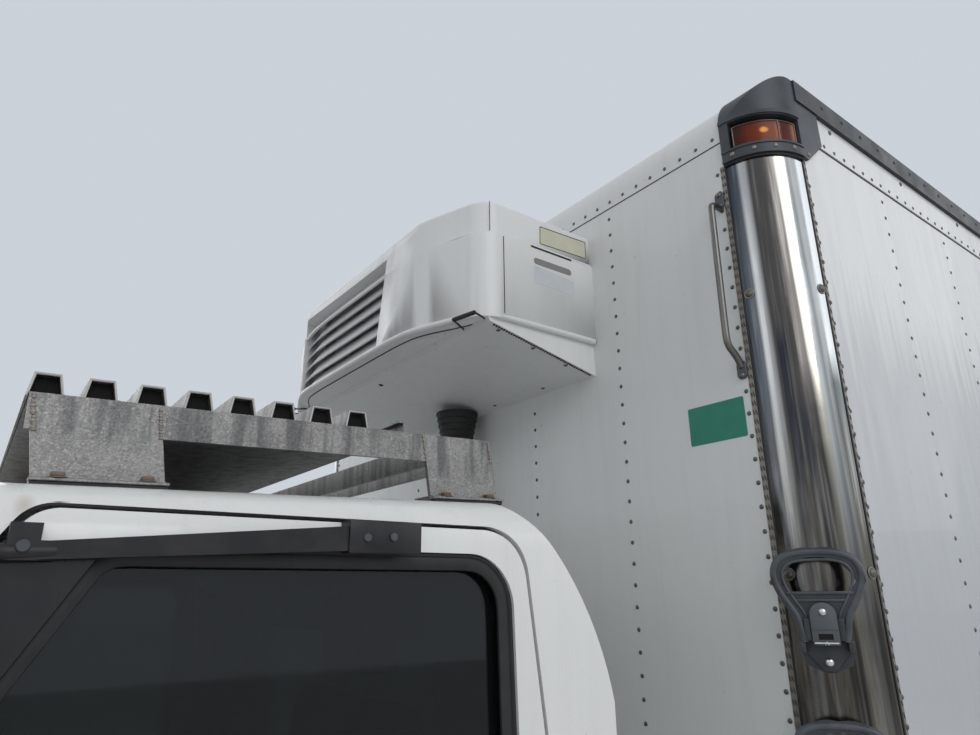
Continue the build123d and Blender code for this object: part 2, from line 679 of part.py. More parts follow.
def door_mirror():
    y = cab_half_w
    rear_x, front_x = cab_back_x + 457, cab_back_x + 865
    rear_z, front_z = door_top_z - 26, door_top_z - 55
    arm = tube([(front_x - 30, y - 12, front_z), (front_x + 40, y - 8, front_z - 2), (mirror_head_x, mirror_y, front_z - 28),
                (mirror_head_x, mirror_y, 1600), (door_front_x - 90, y + 46, 1560)], 9, 60)
    strip = polygon_xz([(rear_x, rear_z - 17), (front_x, front_z - 9), (front_x, front_z + 9), (rear_x, rear_z + 17)])
    arm += side_prism(strip, y - 20, y - 4)
    arm += block(rear_x - 45, rear_x + 45, y - 36, y - 2, rear_z - 22, rear_z + 22)
    arm += block(front_x - 15, front_x + 14, y - 36, y - 4, front_z - 9, front_z + 29)
    arm += block(door_front_x - 130, door_front_x - 60, y - 2, y + 62, 1530, 1590)
    head = Pos(mirror_head_x - 4, mirror_y, 1960) * fillet(Box(90, 210, 400).edges(), 32)
    low = Pos(mirror_head_x - 4, mirror_y, 1680) * fillet(Box(80, 200, 120).edges(), 28)
    return arm + head + low


# Insulated box
def box_floor():
    z0 = frame_top_z
    x0, x1 = box_rear_x + rear_frame_depth, box_front_x - front_wall_t
    w = box_half_w - wall_t
    slab = block(x0, x1, -w, w, floor_top_z - floor_t, floor_top_z)
    for side in (-1, 1):
        slab -= block(box_front_x - post_r, x1 + 1, side * (box_half_w - post_r), side * w, z0, floor_top_z + 1)
    members = [block(x0, x1, side * 365, side * 425, z0, z0 + sill_h) for side in (-1, 1)]
    count = 15
    for k in range(count):
        x = x0 + 60 + (x1 - x0 - 120) * k / (count - 1)
        web = block(x - 4, x + 4, -w, w, z0 + sill_h, floor_top_z - floor_t)
        members.append(web + block(x - 28, x + 28, -w, w, z0 + sill_h, z0 + sill_h + 8))
    return [slab] + members


def box_front_wall():
    x = box_front_x
    w = box_half_w - post_r
    top = roof_top_z
    arc_z = top - front_top_r
    outline = Polyline((x - front_wall_t, 0, wall_bottom_z), (x, 0, wall_bottom_z), (x, 0, arc_z))
    c = (x - front_top_r, arc_z)
    s = front_top_r * sin(radians(45))
    arc = ThreePointArc(outline @ 1, (c[0] + s, 0, c[1] + s), (x - front_top_r, 0, top))
    back = Polyline(arc @ 1, (x - front_top_r - 8, 0, top), (x - front_top_r - 8, 0, top - roof_t),
                    (x - front_wall_t, 0, top - roof_t), outline @ 0)
    return side_prism(make_face([outline, arc, back]), -w, w)


def box_side_wall():
    x0, x1 = box_rear_x + rear_frame_depth, box_front_x - post_r
    wall = block(x0, x1, box_half_w - wall_t, box_half_w, wall_bottom_z, rail_band_z)
    return wall + block(x0, x1, box_half_w - 20, box_half_w + 4, wall_bottom_z, wall_bottom_z + 90)


def box_roof():
    x0 = box_rear_x + rear_frame_depth
    x1 = box_front_x - front_top_r - 8
    w = box_half_w - wall_t
    return block(x0, x1, -w, w, roof_top_z - roof_t, roof_top_z)


def top_rail():
    x0, x1 = box_rear_x + rear_frame_depth, box_front_x - post_r
    rail = block(x0, x1, box_half_w - wall_t, box_half_w, rail_band_z, roof_top_z + rail_lip)
    return rail + block(x0, x1, box_half_w - 10, box_half_w + rail_overhang, rail_band_z, roof_top_z + rail_lip)


def corner_post():
    c = (box_front_x - post_r, box_half_w - post_r)
    post = rod_z(c[0], c[1], post_r, wall_bottom_z, cap_bottom_z)
    return post & block(c[0], c[0] + post_r + 5, c[1], c[1] + post_r + 5, 0, 4000)


lamp_low_z = cap_bottom_z + 33.0
lamp_h = 74.0
lamp_from, lamp_to = 10.0, 88.0
lamp_recess = 30.0


def lamp_band(r_in, r_out, z0, z1, margin):
    c = (box_front_x - post_r, box_half_w - post_r)
    band = rod_z(*c, r_out, z0, z1) - rod_z(*c, r_in, z0 - 1, z1 + 1)
    edges = [(c[0] + 400 * cos(radians(a)), c[1] + 400 * sin(radians(a))) for a in (lamp_from + margin, lamp_to - margin)]
    return band & extrude(polygon_xy([c] + edges), amount=4000, dir=(0, 0, 1))


def corner_cap():
    cx, cy = box_front_x - post_r, box_half_w - post_r
    r = post_r + cap_proud
    z0, z1 = cap_bottom_z, roof_top_z + rail_lip
    cap = rod_z(cx, cy, r, z0, z1) & block(cx, cx + r + 5, cy, cy + r + 5, z0 - 5, z1 + 5)
    arc_r = front_top_r + cap_proud
    arc_x, arc_z = box_front_x - front_top_r + 0.8, roof_top_z - front_top_r
    crown = rod_y(arc_x, arc_z, arc_r, cy - 5, cy + 200) + block(cx - 5, arc_x, cy - 5, cy + 200, z0 - 5, arc_z + arc_r)
    crown += block(cx - 5, arc_x + arc_r, cy - 5, cy + 200, z0 - 5, arc_z)
    wing = polygon_xz([(cx + 1, z0), (cx - 19, z0), (cx - cap_side_reach, z0 + 71), (cx - cap_side_reach, rail_band_z),
                       (cx + 1, rail_band_z)])
    cap = (cap & crown) + side_prism(wing, box_half_w + 0.01, box_half_w + cap_proud)
    return cap - lamp_band(r - lamp_recess, r + 5, lamp_low_z, lamp_low_z + lamp_h, 0)


def corner_lamp():
    r = post_r + cap_proud
    return lamp_band(r - lamp_recess + seat_gap, r - 9, lamp_low_z + 3, lamp_low_z + lamp_h - 12, 2.0)


hinge_low_z = floor_top_z + 120.0
hinge_high_z = roof_top_z - 216.0
hinge_count = 4
hinge_z = [hinge_low_z + (hinge_high_z - hinge_low_z) * k / (hinge_count - 1) for k in range(hinge_count)]
pin_x = box_rear_x - hinge_pin_out
pin_y = box_half_w + 8.0
barrel_half_h = 40.0


header_low_z = roof_top_z + rail_lip - header_h


def rear_post():
    x0, x1 = box_rear_x, box_rear_x + rear_frame_depth
    w = box_half_w
    post = block(x0, x1, w - rear_post_w, w, floor_top_z, header_low_z)
    for z in hinge_z:
        for z0, z1 in ((z + barrel_half_h + 5, z + barrel_half_h + 35), (z - barrel_half_h - 35, z - barrel_half_h - 5)):
            post += rod_z(pin_x, pin_y, hinge_barrel_r, z0, z1)
            post += block(pin_x, x0 + 40, w - 12, w + 14, z0, z1)
    return post


def rear_cross_bar(z0, z1):
    return block(box_rear_x, box_rear_x + rear_frame_depth, -box_half_w, box_half_w, z0, z1)


# Rear doors: slab with hinge straps, one lock bar and its handle
lock_bar_y = 330.0


def rear_door():
    x0, x1 = box_rear_x, box_rear_x + rear_door_t
    y0, y1 = 4.0, box_half_w - rear_post_w - door_gap
    z0, z1 = floor_top_z + door_gap, header_low_z - door_gap
    door = block(x0, x1, y0, y1, z0, z1)
    for z in hinge_z:
        door += rod_z(pin_x, pin_y, hinge_barrel_r, z - barrel_half_h, z + barrel_half_h)
        door += block(x0 - 12, x0, y1 - 170, pin_y, z - barrel_half_h, z + barrel_half_h)
    bar_x = x0 - 24
    door += rod_z(bar_x, lock_bar_y, 13, z0 + 20, z1 - 20)
    for z in (z0 + 60, z0 + 560, z0 + 1300, z1 - 60):
        door += block(bar_x, x0, lock_bar_y - 30, lock_bar_y + 30, z - 25, z + 25)
    door += block(bar_x - 8, bar_x + 8, 60, lock_bar_y, z0 + 285, z0 + 315) + block(bar_x, x0, 60, 110, z0 + 275, z0 + 325)
    return door


# Cooling unit: flat front that falls back to the sides and leans towards the wall
def unit_plan(inset, setback):
    w = unit_half_w - inset - setback
    side_x = box_front_x + unit_side_depth - inset - setback
    front_x = box_front_x + unit_depth - inset
    flat = unit_flat_half_w
    face = polygon_xy([(box_front_x, -w), (side_x, -w), (front_x, -flat), (front_x, flat), (side_x, w), (box_front_x, w)])
    corners = [((side_x, side * w, 0), 75 - inset) for side in (-1, 1)]
    return rounded_polygon(face, corners + [((front_x, side * flat, 0), 900) for side in (-1, 1)])


def unit_body(inset):
    low = Pos(0, 0, unit_bottom_z) * extrude(unit_plan(inset, 0), amount=unit_waist_z - unit_bottom_z, dir=(0, 0, 1))
    top = Pos(0, 0, unit_waist_z) * extrude(unit_plan(inset, unit_waist_step), amount=unit_top_z - unit_waist_z, dir=(0, 0, 1))
    front_x = box_front_x + unit_depth - inset
    lean = polygon_xz([(box_front_x, unit_bottom_z - 20), (front_x + 1, unit_bottom_z - 20),
                       (front_x - unit_lean, unit_top_z), (box_front_x, unit_top_z)])
    return (low + top) & side_prism(lean, -700, 700)


grille_span = (-432.0, 213.0)
grille_band = (unit_bottom_z + 14.0, unit_top_z - 44.0)


def cooling_unit_shell():
    shell = unit_body(0)
    top_edges = shell.faces().sort_by(Axis.Z)[-1].edges().filter_by(lambda e: e.center().X > box_front_x + 5)
    shell = fillet(top_edges, 12)
    return shell - block(box_front_x + 120, box_front_x + 600, *grille_span, *grille_band)


def cooling_unit_grille():
    y0, y1 = grille_span[0] + seat_gap, grille_span[1] - seat_gap
    z0, z1 = grille_band[0] + 1, grille_band[1] - 1
    x0, x1 = box_front_x + 200, box_front_x + 600
    zone = (unit_body(10) - unit_body(62)) & block(x0, x1, y0, y1, z0, z1)
    bars = block(x0, x1, y0, y0 + 14, z0, z1) + block(x0, x1, y1 - 14, y1, z0, z1)
    count = 5
    pitch = (grille_band[1] - grille_band[0]) / count
    for k in range(count):
        z = grille_band[0] + pitch * (k + 0.5)
        bars += Pos(box_front_x + 435, (y0 + y1) / 2, z) * Rot(0, 38, 0) * Box(130, y1 - y0, 9)
    return zone & bars


def cooling_unit_pan():
    x = box_front_x
    w = unit_half_w - 12
    profile = polygon_xz([(x, pan_wall_z), (x + 368, pan_front_z), (x + 376, unit_bottom_z), (x, unit_bottom_z)])
    return side_prism(profile, -w, w)


def hose_boot():
    x, y = box_front_x + 78, 31.0
    top_z = pan_wall_z + 2
    boot = Pos(x, y, top_z - 65) * Cone(45, 70, 130)
    boot += rod_z(x, y, 38, frame_top_z - 10, top_z - 120)
    return boot - side_prism(polygon_xz([(box_front_x, pan_wall_z), (box_front_x + 368, pan_front_z),
                                         (box_front_x + 368, pan_front_z + 200), (box_front_x, pan_front_z + 200)]), -400, 400)


# Service platform on the cab roof: welded end frames and hat-section planks
platform_foot_z = 2405.0
platform_tilt = 1.83
plate_t = 8.0


def roof_platform():
    length = platform_front_x - platform_rear_x
    leg_front, leg_rear = 150.0, 140.0
    bar_h = 46.0
    h = platform_h
    end = block(0, length, 0, plate_t, h - bar_h, h)
    for x0, x1 in ((0, leg_rear), (length - leg_front, length)):
        end += side_prism(polygon_xz([(x0 - leg_lean, 0), (x1 - leg_lean, 0), (x1, h), (x0, h)]), 0, plate_t)
        end += block(x0 - leg_lean, x1 - leg_lean, -45, plate_t + 4, -14, 6)
    other = Pos(0, -2 * platform_y, 0) * mirror(end, about=Plane.XZ)
    deck_x0 = length - plank_pitch * plank_count + 18
    deck = block(deck_x0 - 60, length, -2 * platform_y, 0, h - 6, h - 2)
    for k in range(plank_count):
        x = length - 17 - plank_pitch * k
        hat = polygon_xz([(x - 21, 0), (x - 15, plank_h), (x + 15, plank_h), (x + 21, 0)])
        hole = polygon_xz([(x - 18, 0), (x - 12.5, plank_h - 3), (x + 12.5, plank_h - 3), (x + 18, 0)])
        ridge = side_prism(hat, -2 * platform_y, 0) - side_prism(hole, -2 * platform_y - 1, 1)
        deck += Pos(0, 0, h - 3) * ridge
    deck += block(deck_x0 - 62, deck_x0 - 59, -2 * platform_y, 0, h - 6, h + 20)
    deck += block(deck_x0 - 62, deck_x0 - 50, -2 * platform_y, 0, h + 17, h + 20)
    frame = end + other + deck
    for x in (30, leg_rear - 38, length - leg_front + 20):
        frame += block(x, x + 8, -2 * platform_y, 0, h - bar_h, h - 5)
    return Pos(platform_rear_x, platform_y - plate_t, platform_foot_z) * Rot(0, platform_tilt, 0) * frame


# Grab handle on the front wall beside the post
def grab_handle():
    x = box_front_x
    y_rod, y_foot = box_half_w - 165, box_half_w - post_r - 9
    z1 = cap_bottom_z - 106
    z0 = z1 - 385
    bar = tube([(x + 5, y_foot, z0 - 50), (x + 52, y_rod + 6, z0 - 22), (x + 52, y_rod, z0 + 20), (x + 52, y_rod, z1 - 14),
                (x + 50, y_foot, z1), (x + 5, y_foot, z1)], 8, 12)
    for z in (z0 - 50, z1):
        bar += Pos(x + 4, y_foot, z) * Rot(0, 90, 0) * Cylinder(19, 8)
    return bar


# Folding corner steps, stowed upright against the post
def step_frame():
    c = (box_front_x - post_r, box_half_w - post_r)
    return Pos(c[0], c[1], 0) * Rot(0, 0, step_azimuth)


step_axis_r = post_r + 26.0


def step_outline(grow):
    g = grow
    top = step_reach
    w = step_half_w
    points = [(0, -34 + g, -16 + g), (0, -40 + g, 28), (0, -w + g, top - 62), (0, -w + 22 + g, top - 14 - g), (0, 0, top - g)]
    left = Polyline(*points[:3])
    arc = ThreePointArc(points[2], points[3], points[4])
    r_points = [(0, -y, z) for x, y, z in reversed(points)]
    arc2 = ThreePointArc(r_points[0], r_points[1], r_points[2])
    right = Polyline(*r_points[2:])
    return make_face([left, arc, arc2, right, Line(right @ 1, left @ 0)])


def corner_step(level):
    z = step_hinge_z - step_pitch * level
    plate = Pos(-7, 0, 0) * extrude(step_outline(0), amount=14, dir=(1, 0, 0))
    window = Pos(-20, 0, 0) * (extrude(step_outline(16), amount=60, dir=(1, 0, 0)) & block(-50, 50, -200, 200, 66, 300))
    plate -= window
    plate -= Pos(0, 0, -5) * Box(60, 44, 56)
    pin = rod_y(0, 0, 7, -30, 30)
    return step_frame() * Pos(step_axis_r, 0, z) * (plate + pin)


def step_bracket(level):
    z = step_hinge_z - step_pitch * level
    x = post_r + 1.0 - step_axis_r
    base = extrude(make_face(Polyline((x - 6, -20, 44), (x - 6, 20, 44), (x - 6, 20, -20), (x - 6, 46, -34), (x - 6, 40, -62),
                                      (x - 6, 8, -76), (x - 6, -8, -76), (x - 6, -40, -62), (x - 6, -46, -34), (x - 6, -20, -20),
                                      close=True)), amount=14, dir=(1, 0, 0))
    base += block(x, 12, -18, 18, -14, 14) - rod_y(0, 0, 7 + running_gap, -40, 40)
    base = step_frame() * Pos(step_axis_r, 0, z) * base
    c = (box_front_x - post_r, box_half_w - post_r)
    return base - rod_z(c[0], c[1], post_r + 0.2, 1000, 3300)


# Rear under-frame bumper with dock bumpers, and mud flaps
def rear_bumper():
    x = box_rear_x
    w = box_half_w - 69
    bar = block(x + 10, x + 90, -w, w, 470, 590)
    for side in (-1, 1):
        bar += block(x + 20, x + 80, side * 380, side * 440, 590, frame_top_z + 10)
        bar += block(x - dock_bumper_depth, x + 10, side * (w - 250), side * (w - 90), 450, 620)
    step = block(x - 30, x + 80, -500, 500, 700, 730) + block(x + 20, x + 80, -440, 440, 700, 760)
    return bar + step


def mud_flap():
    x = rear_axle_x - 640
    y = box_half_w - 14
    flap = block(x - 6, x, y - 590, y, 330, frame_top_z + sill_h + 8)
    return flap + block(x - 10, x + 4, 440, y, 1000, 1040) + block(x - 10, x + 4, rail_outer_y, 450, 900, 1040)


def marker_lamps():
    lamps = pair(corner_lamp())
    x = box_rear_x
    for y in (-220, 0, 220):
        lamps.append(block(x - 18, x, y - 50, y + 50, roof_top_z - 62, roof_top_z - 32))
    for side in (-1, 1):
        lamps.append(Pos(x - 12, side * (box_half_w - 119), roof_top_z - 47) * Box(24, 100, 30))
        for y in (box_half_w - 139, box_half_w - 259):
            lamps.append(Pos(x - 12, side * y, 1080) * Rot(0, 90, 0) * Cylinder(50, 24))
        for lx in (box_front_x - 1500, box_rear_x + 700):
            lamps.append(Pos(lx, side * (box_half_w + 11), wall_bottom_z + 45) * Box(110, 14, 34))
    return lamps


cab_outer = cab_solid(0)
shell = cab_shell(cab_outer)
roof, floor, back, front, sides = cab_nodes(shell)
for leaf in door_hinge_halves()[0]:
    front = front + leaf + mirrored(leaf)
outer, inner = hood_outer(0), hood_outer(hood_wall)
lamp_inner = hood_outer(60)
door = cab_door(shell)
glass = door_glass()
step_names = ["upper", "high", "middle", "lower"]

nodes = {
    "ladder_frame": ladder_frame(),
    "front_bumper": front_bumper(),
    "front_axle_beam": front_axle_beam(),
    "rear_axle_housing": rear_axle_housing(),
    "leaf_springs": leaf_springs(),
    "drive_shaft": drive_shaft(),
    "engine_block": engine_block(),
    "fuel_tanks": pair(fuel_tank()),
    "cab_floor": floor,
    "cab_front_frame": front,
    "cab_back_wall": back,
    "cab_side_frames": sides,
    "cab_roof": roof,
    "cab_glass": cab_glass(),
    "seats": seats(),
    "dashboard": dashboard(),
    "box_floor": box_floor(),
    "box_front_wall": box_front_wall(),
    "box_side_walls": pair(box_side_wall()),
    "box_roof": box_roof(),
    "rear_frame_posts": pair(rear_post()),
    "rear_header": rear_cross_bar(header_low_z, roof_top_z + rail_lip),
    "rear_sill": rear_cross_bar(frame_top_z + 10, floor_top_z),
    "top_rails": pair(top_rail()),
    "corner_posts": pair(corner_post()),
    "corner_castings": pair(corner_cap()) + [step_bracket(k) for k in range(step_count)],
    "cooling_unit_shell": cooling_unit_shell(),
    "cooling_unit_pan": cooling_unit_pan(),
    "cooling_unit_grille": cooling_unit_grille(),
    "hose_boot": hose_boot(),
    "roof_platform": roof_platform() - cab_outer,
    "grab_handle": grab_handle(),
    "rear_bumper": rear_bumper(),
    "mud_flaps": pair(mud_flap()),
    "marker_lamps": marker_lamps(),
    "hood_shell": hood_shell(outer, inner),
    "hood_grille": hood_grille(),
    "headlamps": headlamps(outer, lamp_inner),
}
for k in range(step_count):
    nodes[f"corner_step_{step_names[k]}"] = corner_step(k)
sided = {
    "steering_knuckle": steering_knuckle(),
    "front_tyre": tyre(front_axle_x, front_wheel_y),
    "front_rim": front_rim(front_axle_x, front_wheel_y),
    "rear_tyres": [tyre(rear_axle_x, dual_mid_y - dual_spacing / 2), tyre(rear_axle_x, dual_mid_y + dual_spacing / 2)],
    "rear_rims": rear_rims(rear_axle_x, dual_mid_y),
    "cab_door": door,
    "door_glass": glass,
    "door_mirror": door_mirror() - cab_outer,
    "rear_door": rear_door(),
}
for name, shape in sided.items():
    shapes = shape if isinstance(shape, list) else [shape]
    nodes[f"{name}_left"] = shapes
    nodes[f"{name}_right"] = [mirrored(s) for s in shapes]

for name, shape in nodes.items():
    save(name, shape)
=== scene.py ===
"""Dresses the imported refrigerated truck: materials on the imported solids, and the small pieces that sit on them."""

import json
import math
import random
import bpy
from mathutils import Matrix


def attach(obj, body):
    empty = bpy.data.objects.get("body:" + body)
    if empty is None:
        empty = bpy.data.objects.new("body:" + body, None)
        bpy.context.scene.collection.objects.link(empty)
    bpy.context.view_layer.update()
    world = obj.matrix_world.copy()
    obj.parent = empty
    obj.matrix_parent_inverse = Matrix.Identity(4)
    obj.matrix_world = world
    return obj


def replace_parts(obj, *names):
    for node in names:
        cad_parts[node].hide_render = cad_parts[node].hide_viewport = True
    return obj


bl_info = {
    "name": "Refrigerated Truck",
    "version": (1, 0, 0),
    "blender": (4, 5, 0),
    "location": "View3D > Sidebar > Truck",
    "description": "Materials and detail pieces of a refrigerated delivery truck",
    "category": "Object",
}

from contextlib import contextmanager

import bmesh
import bpy
from bpy.props import FloatProperty, FloatVectorProperty, PointerProperty
from mathutils import Matrix, Vector

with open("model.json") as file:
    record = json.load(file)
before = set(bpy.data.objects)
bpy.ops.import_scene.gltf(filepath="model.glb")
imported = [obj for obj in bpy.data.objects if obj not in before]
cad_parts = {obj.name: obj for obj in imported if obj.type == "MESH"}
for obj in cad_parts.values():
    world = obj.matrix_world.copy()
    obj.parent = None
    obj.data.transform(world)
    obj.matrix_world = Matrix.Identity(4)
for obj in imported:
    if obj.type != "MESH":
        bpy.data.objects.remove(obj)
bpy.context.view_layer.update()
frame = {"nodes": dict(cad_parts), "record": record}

NODES = frame["nodes"]


# The truck's main places, in metres

FRONT, REAR, SIDE, TOP = 1.5, -4.596, 1.219, 3.466
AHEAD, BACK = (1, 0, 0), (-1, 0, 0)
LEFT, RIGHT = (0, 1, 0), (0, -1, 0)
UP, DOWN = (0, 0, 1), (0, 0, -1)
ORIGIN = (0, 0, 0)
POST_R = 0.128
POST_X, POST_Y = FRONT - POST_R, SIDE - POST_R
SEAM_Z = 3.316
WALL_LOW = 1.11
CAP_LOW = TOP - 0.22
RIVET_PITCH = 0.0508
CAB_STAIN = (2.79, 1.0, 2.352)


# Sizes and colours that a user would change


class TruckPaint(bpy.types.PropertyGroup):
    """Paint and finish colours."""

    box_white: FloatVectorProperty(
        name="Box white", description="Skin of the insulated box", subtype="COLOR", default=(0.7, 0.715, 0.71)
    )
    cab_white: FloatVectorProperty(
        name="Cab white", description="Cab and hood paint", subtype="COLOR", default=(0.8, 0.81, 0.8)
    )
    casting_grey: FloatVectorProperty(
        name="Casting grey", description="Corner castings, steps and top rail", subtype="COLOR",
        default=(0.037, 0.041, 0.046))
    label_green: FloatVectorProperty(
        name="Label green", description="Blank plate on the front wall", subtype="COLOR", default=(0.01, 0.2, 0.13)
    )


class TruckStage(bpy.types.PropertyGroup):
    """Camera and light of the stage."""

    camera_place: FloatVectorProperty(
        name="Camera place", description="Where the camera stands", subtype="TRANSLATION", unit="LENGTH",
        default=(2.8324, 1.8967, 2.25))
    camera_heading: FloatProperty(
        name="Heading", description="Turn of the view from the truck's rear towards its right", default=36.8
    )
    camera_pitch: FloatProperty(name="Pitch", description="Degrees that the view looks up", default=18.32)
    camera_roll: FloatProperty(name="Roll", description="Degrees that the frame is turned", default=0.58)
    camera_lens: FloatProperty(name="Lens", description="Focal length in mm on a 36 mm frame", default=25.07)
    sky_strength: FloatProperty(name="Sky strength", description="Light of the world on the truck", default=0.48)
    key_power: FloatProperty(name="Key lamp", description="Power of the large soft lamp", unit="POWER", default=430.0)


# Materials


class Wire:
    """A shader socket that takes part in arithmetic."""

    def __init__(self, finish, socket):
        self.finish = finish
        self.socket = socket

    def _math(self, operation, first, second=0.0):
        return self.finish.add("ShaderNodeMath", {"operation": operation}, {0: first, 1: second})

    def __add__(self, other):
        return self._math("ADD", self, other)

    __radd__ = __add__

    def __sub__(self, other):
        return self._math("SUBTRACT", self, other)

    def __rsub__(self, other):
        return self._math("SUBTRACT", other, self)

    def __mul__(self, other):
        return self._math("MULTIPLY", self, other)

    __rmul__ = __mul__

    def __abs__(self):
        return self._math("ABSOLUTE", self)

    def __pow__(self, other):
        return self._math("POWER", self, other)

    def __gt__(self, other):
        return self._math("GREATER_THAN", self, other)

    def __lt__(self, other):
        return self._math("LESS_THAN", self, other)

    def larger(self, other):
        return self._math("MAXIMUM", self, other)

    def angle_from(self, other):
        return self._math("ARCTAN2", self, other)


SURFACE_INPUTS = {
    "colour": "Base Color", "rough": "Roughness", "metal": "Metallic", "coat": "Coat Weight", "normal": "Normal",
    "glow": "Emission Color", "glow_strength": "Emission Strength", "ior": "IOR", "specular": "Specular IOR Level",
    "transmission": "Transmission Weight", "sheen": "Sheen Weight",
}


class Finish:
    """A node material in the making."""

    def __init__(self, name, owners=None):
        self.material = (bpy.data.materials if owners is None else owners).new(name)
        self.material.use_nodes = True
        self.nodes = self.material.node_tree.nodes
        self.links = self.material.node_tree.links
        self.nodes.clear()

    def add(self, kind, settings=None, sockets=None, output=0):
        node = self.nodes.new(kind)
        for key, value in (settings or {}).items():
            if key == "stops":
                ramp = node.color_ramp.elements
                while len(ramp) < len(value):
                    ramp.new(0.5)
                for element, (position, colour) in zip(ramp, value):
                    element.position = position
                    element.color = colour if len(colour) == 4 else (*colour, 1.0)
            else:
                setattr(node, key, value)
        for key, value in (sockets or {}).items():
            if isinstance(value, Wire):
                self.links.new(value.socket, node.inputs[key])
            else:
                node.inputs[key].default_value = value
        return Wire(self, node.outputs[output]) if node.outputs else None

    def place(self, stretch=None):
        point = self.add("ShaderNodeTexCoord", output="Object")
        if stretch is None:
            return point
        return self.add("ShaderNodeMapping", {}, {"Vector": point, "Scale": stretch})

    def noise(self, scale, detail=3.0, roughness=0.5, stretch=None):
        sockets = {"Vector": self.place(stretch), "Scale": scale, "Detail": detail, "Roughness": roughness}
        return self.add("ShaderNodeTexNoise", {}, sockets)

    def cells(self, scale):
        return self.add("ShaderNodeTexVoronoi", {}, {"Vector": self.place(), "Scale": scale})

    def wave(self, direction, scale, distortion=0.0):
        sockets = {"Vector": self.place(), "Scale": scale, "Distortion": distortion}
        return self.add("ShaderNodeTexWave", {"bands_direction": direction}, sockets)

    def ramp(self, value, low, high, start=0.0, end=1.0):
        return self.add(
            "ShaderNodeMapRange", {},
            {"Value": value, "From Min": low, "From Max": high, "To Min": start, "To Max": end})

    def colours(self, value, stops):
        return self.add("ShaderNodeValToRGB", {"stops": stops}, {"Fac": value})

    def mix(self, factor, a, b):
        pair = {0: factor}
        for index, value in ((6, a), (7, b)):
            pair[index] = value if isinstance(value, Wire) else (*value[:3], 1.0)
        return self.add("ShaderNodeMix", {"data_type": "RGBA"}, pair, output=2)

    def axis(self, which):
        return self.add("ShaderNodeSeparateXYZ", {}, {0: self.place()}, output=which)

    def bump(self, height, strength, distance, under=None):
        sockets = {"Height": height, "Strength": strength, "Distance": distance}
        if under is not None:
            sockets["Normal"] = under
        return self.add("ShaderNodeBump", {}, sockets)

    def surface(self, **values):
        sockets = {}
        for key, value in values.items():
            if key in ("colour", "glow") and not isinstance(value, Wire):
                value = (*value[:3], 1.0)
            sockets[SURFACE_INPUTS[key]] = value
        shader = self.add("ShaderNodeBsdfPrincipled", {}, sockets)
        self.add("ShaderNodeOutputMaterial", {}, {"Surface": shader})
        return self.material


def tinted(colour, factor):
    return tuple(min(1.0, c * factor) for c in colour)


def painted_panel(name, colour, streak, speck, rough, wave=0.0, stain=None, film=0.0):
    """White painted sheet with rain streaks, fine grime, a slightly wavy surface, perhaps a rust stain at a place, and
    painted reflection and shade: a blue-grey darkening low on the sides."""
    f = Finish(name)
    runs = f.noise(3.2, 6.0, 0.62, stretch=(9.0, 9.0, 0.55))
    cloud = f.noise(0.9, 4.0, 0.55)
    dots = f.noise(190.0, 2.0, 0.6)
    grime = f.ramp(runs, 0.5, 0.78) * streak + f.ramp(cloud, 0.45, 0.75) * (0.5 * streak)
    spots = f.ramp(dots, 0.66, 0.74) * speck
    flecks = f.cells(15.0)
    spots = spots + f.ramp(flecks, 0.05, 0.03) * f.ramp(cloud, 0.44, 0.5) * min(0.8, speck * 2.4)
    base = f.mix(grime, colour, tinted(colour, 0.55))
    base = f.mix(spots, base, (0.16, 0.15, 0.13))
    # film paints reflection and shade: a blue-grey darkening low on the side walls, with a ragged upper edge
    if film:
        side = abs(f.axis(1)) > SIDE - 0.004
        edge = f.axis(2) + (runs - 0.5) * 0.9
        base = f.mix(f.ramp(edge, 2.98, 2.72) * side * film, base, (0.3, 0.325, 0.36))
    if stain:
        spread = (1.0, 0.6, 0.45)
        centre = [a * b for a, b in zip(stain, spread)]
        away = f.add("ShaderNodeVectorMath", {"operation": "DISTANCE"}, {0: f.place(spread), 1: centre}, output=1)
        base = f.mix(f.ramp(away + (cloud - 0.5) * 0.01, 0.013, 0.004) * 0.45, base, (0.36, 0.27, 0.15))
    gloss = f.ramp(runs, 0.35, 0.8, rough, rough + 0.22)
    dents = f.noise(2.1, 2.0, 0.4)
    orange_peel = f.noise(420.0, 2.0, 0.5)
    normal = f.bump(orange_peel, 0.04, 0.0006)
    if wave:
        normal = f.bump(dents, wave, 0.02, normal)
    return f.surface(colour=base, rough=gloss, normal=normal, coat=0.15)


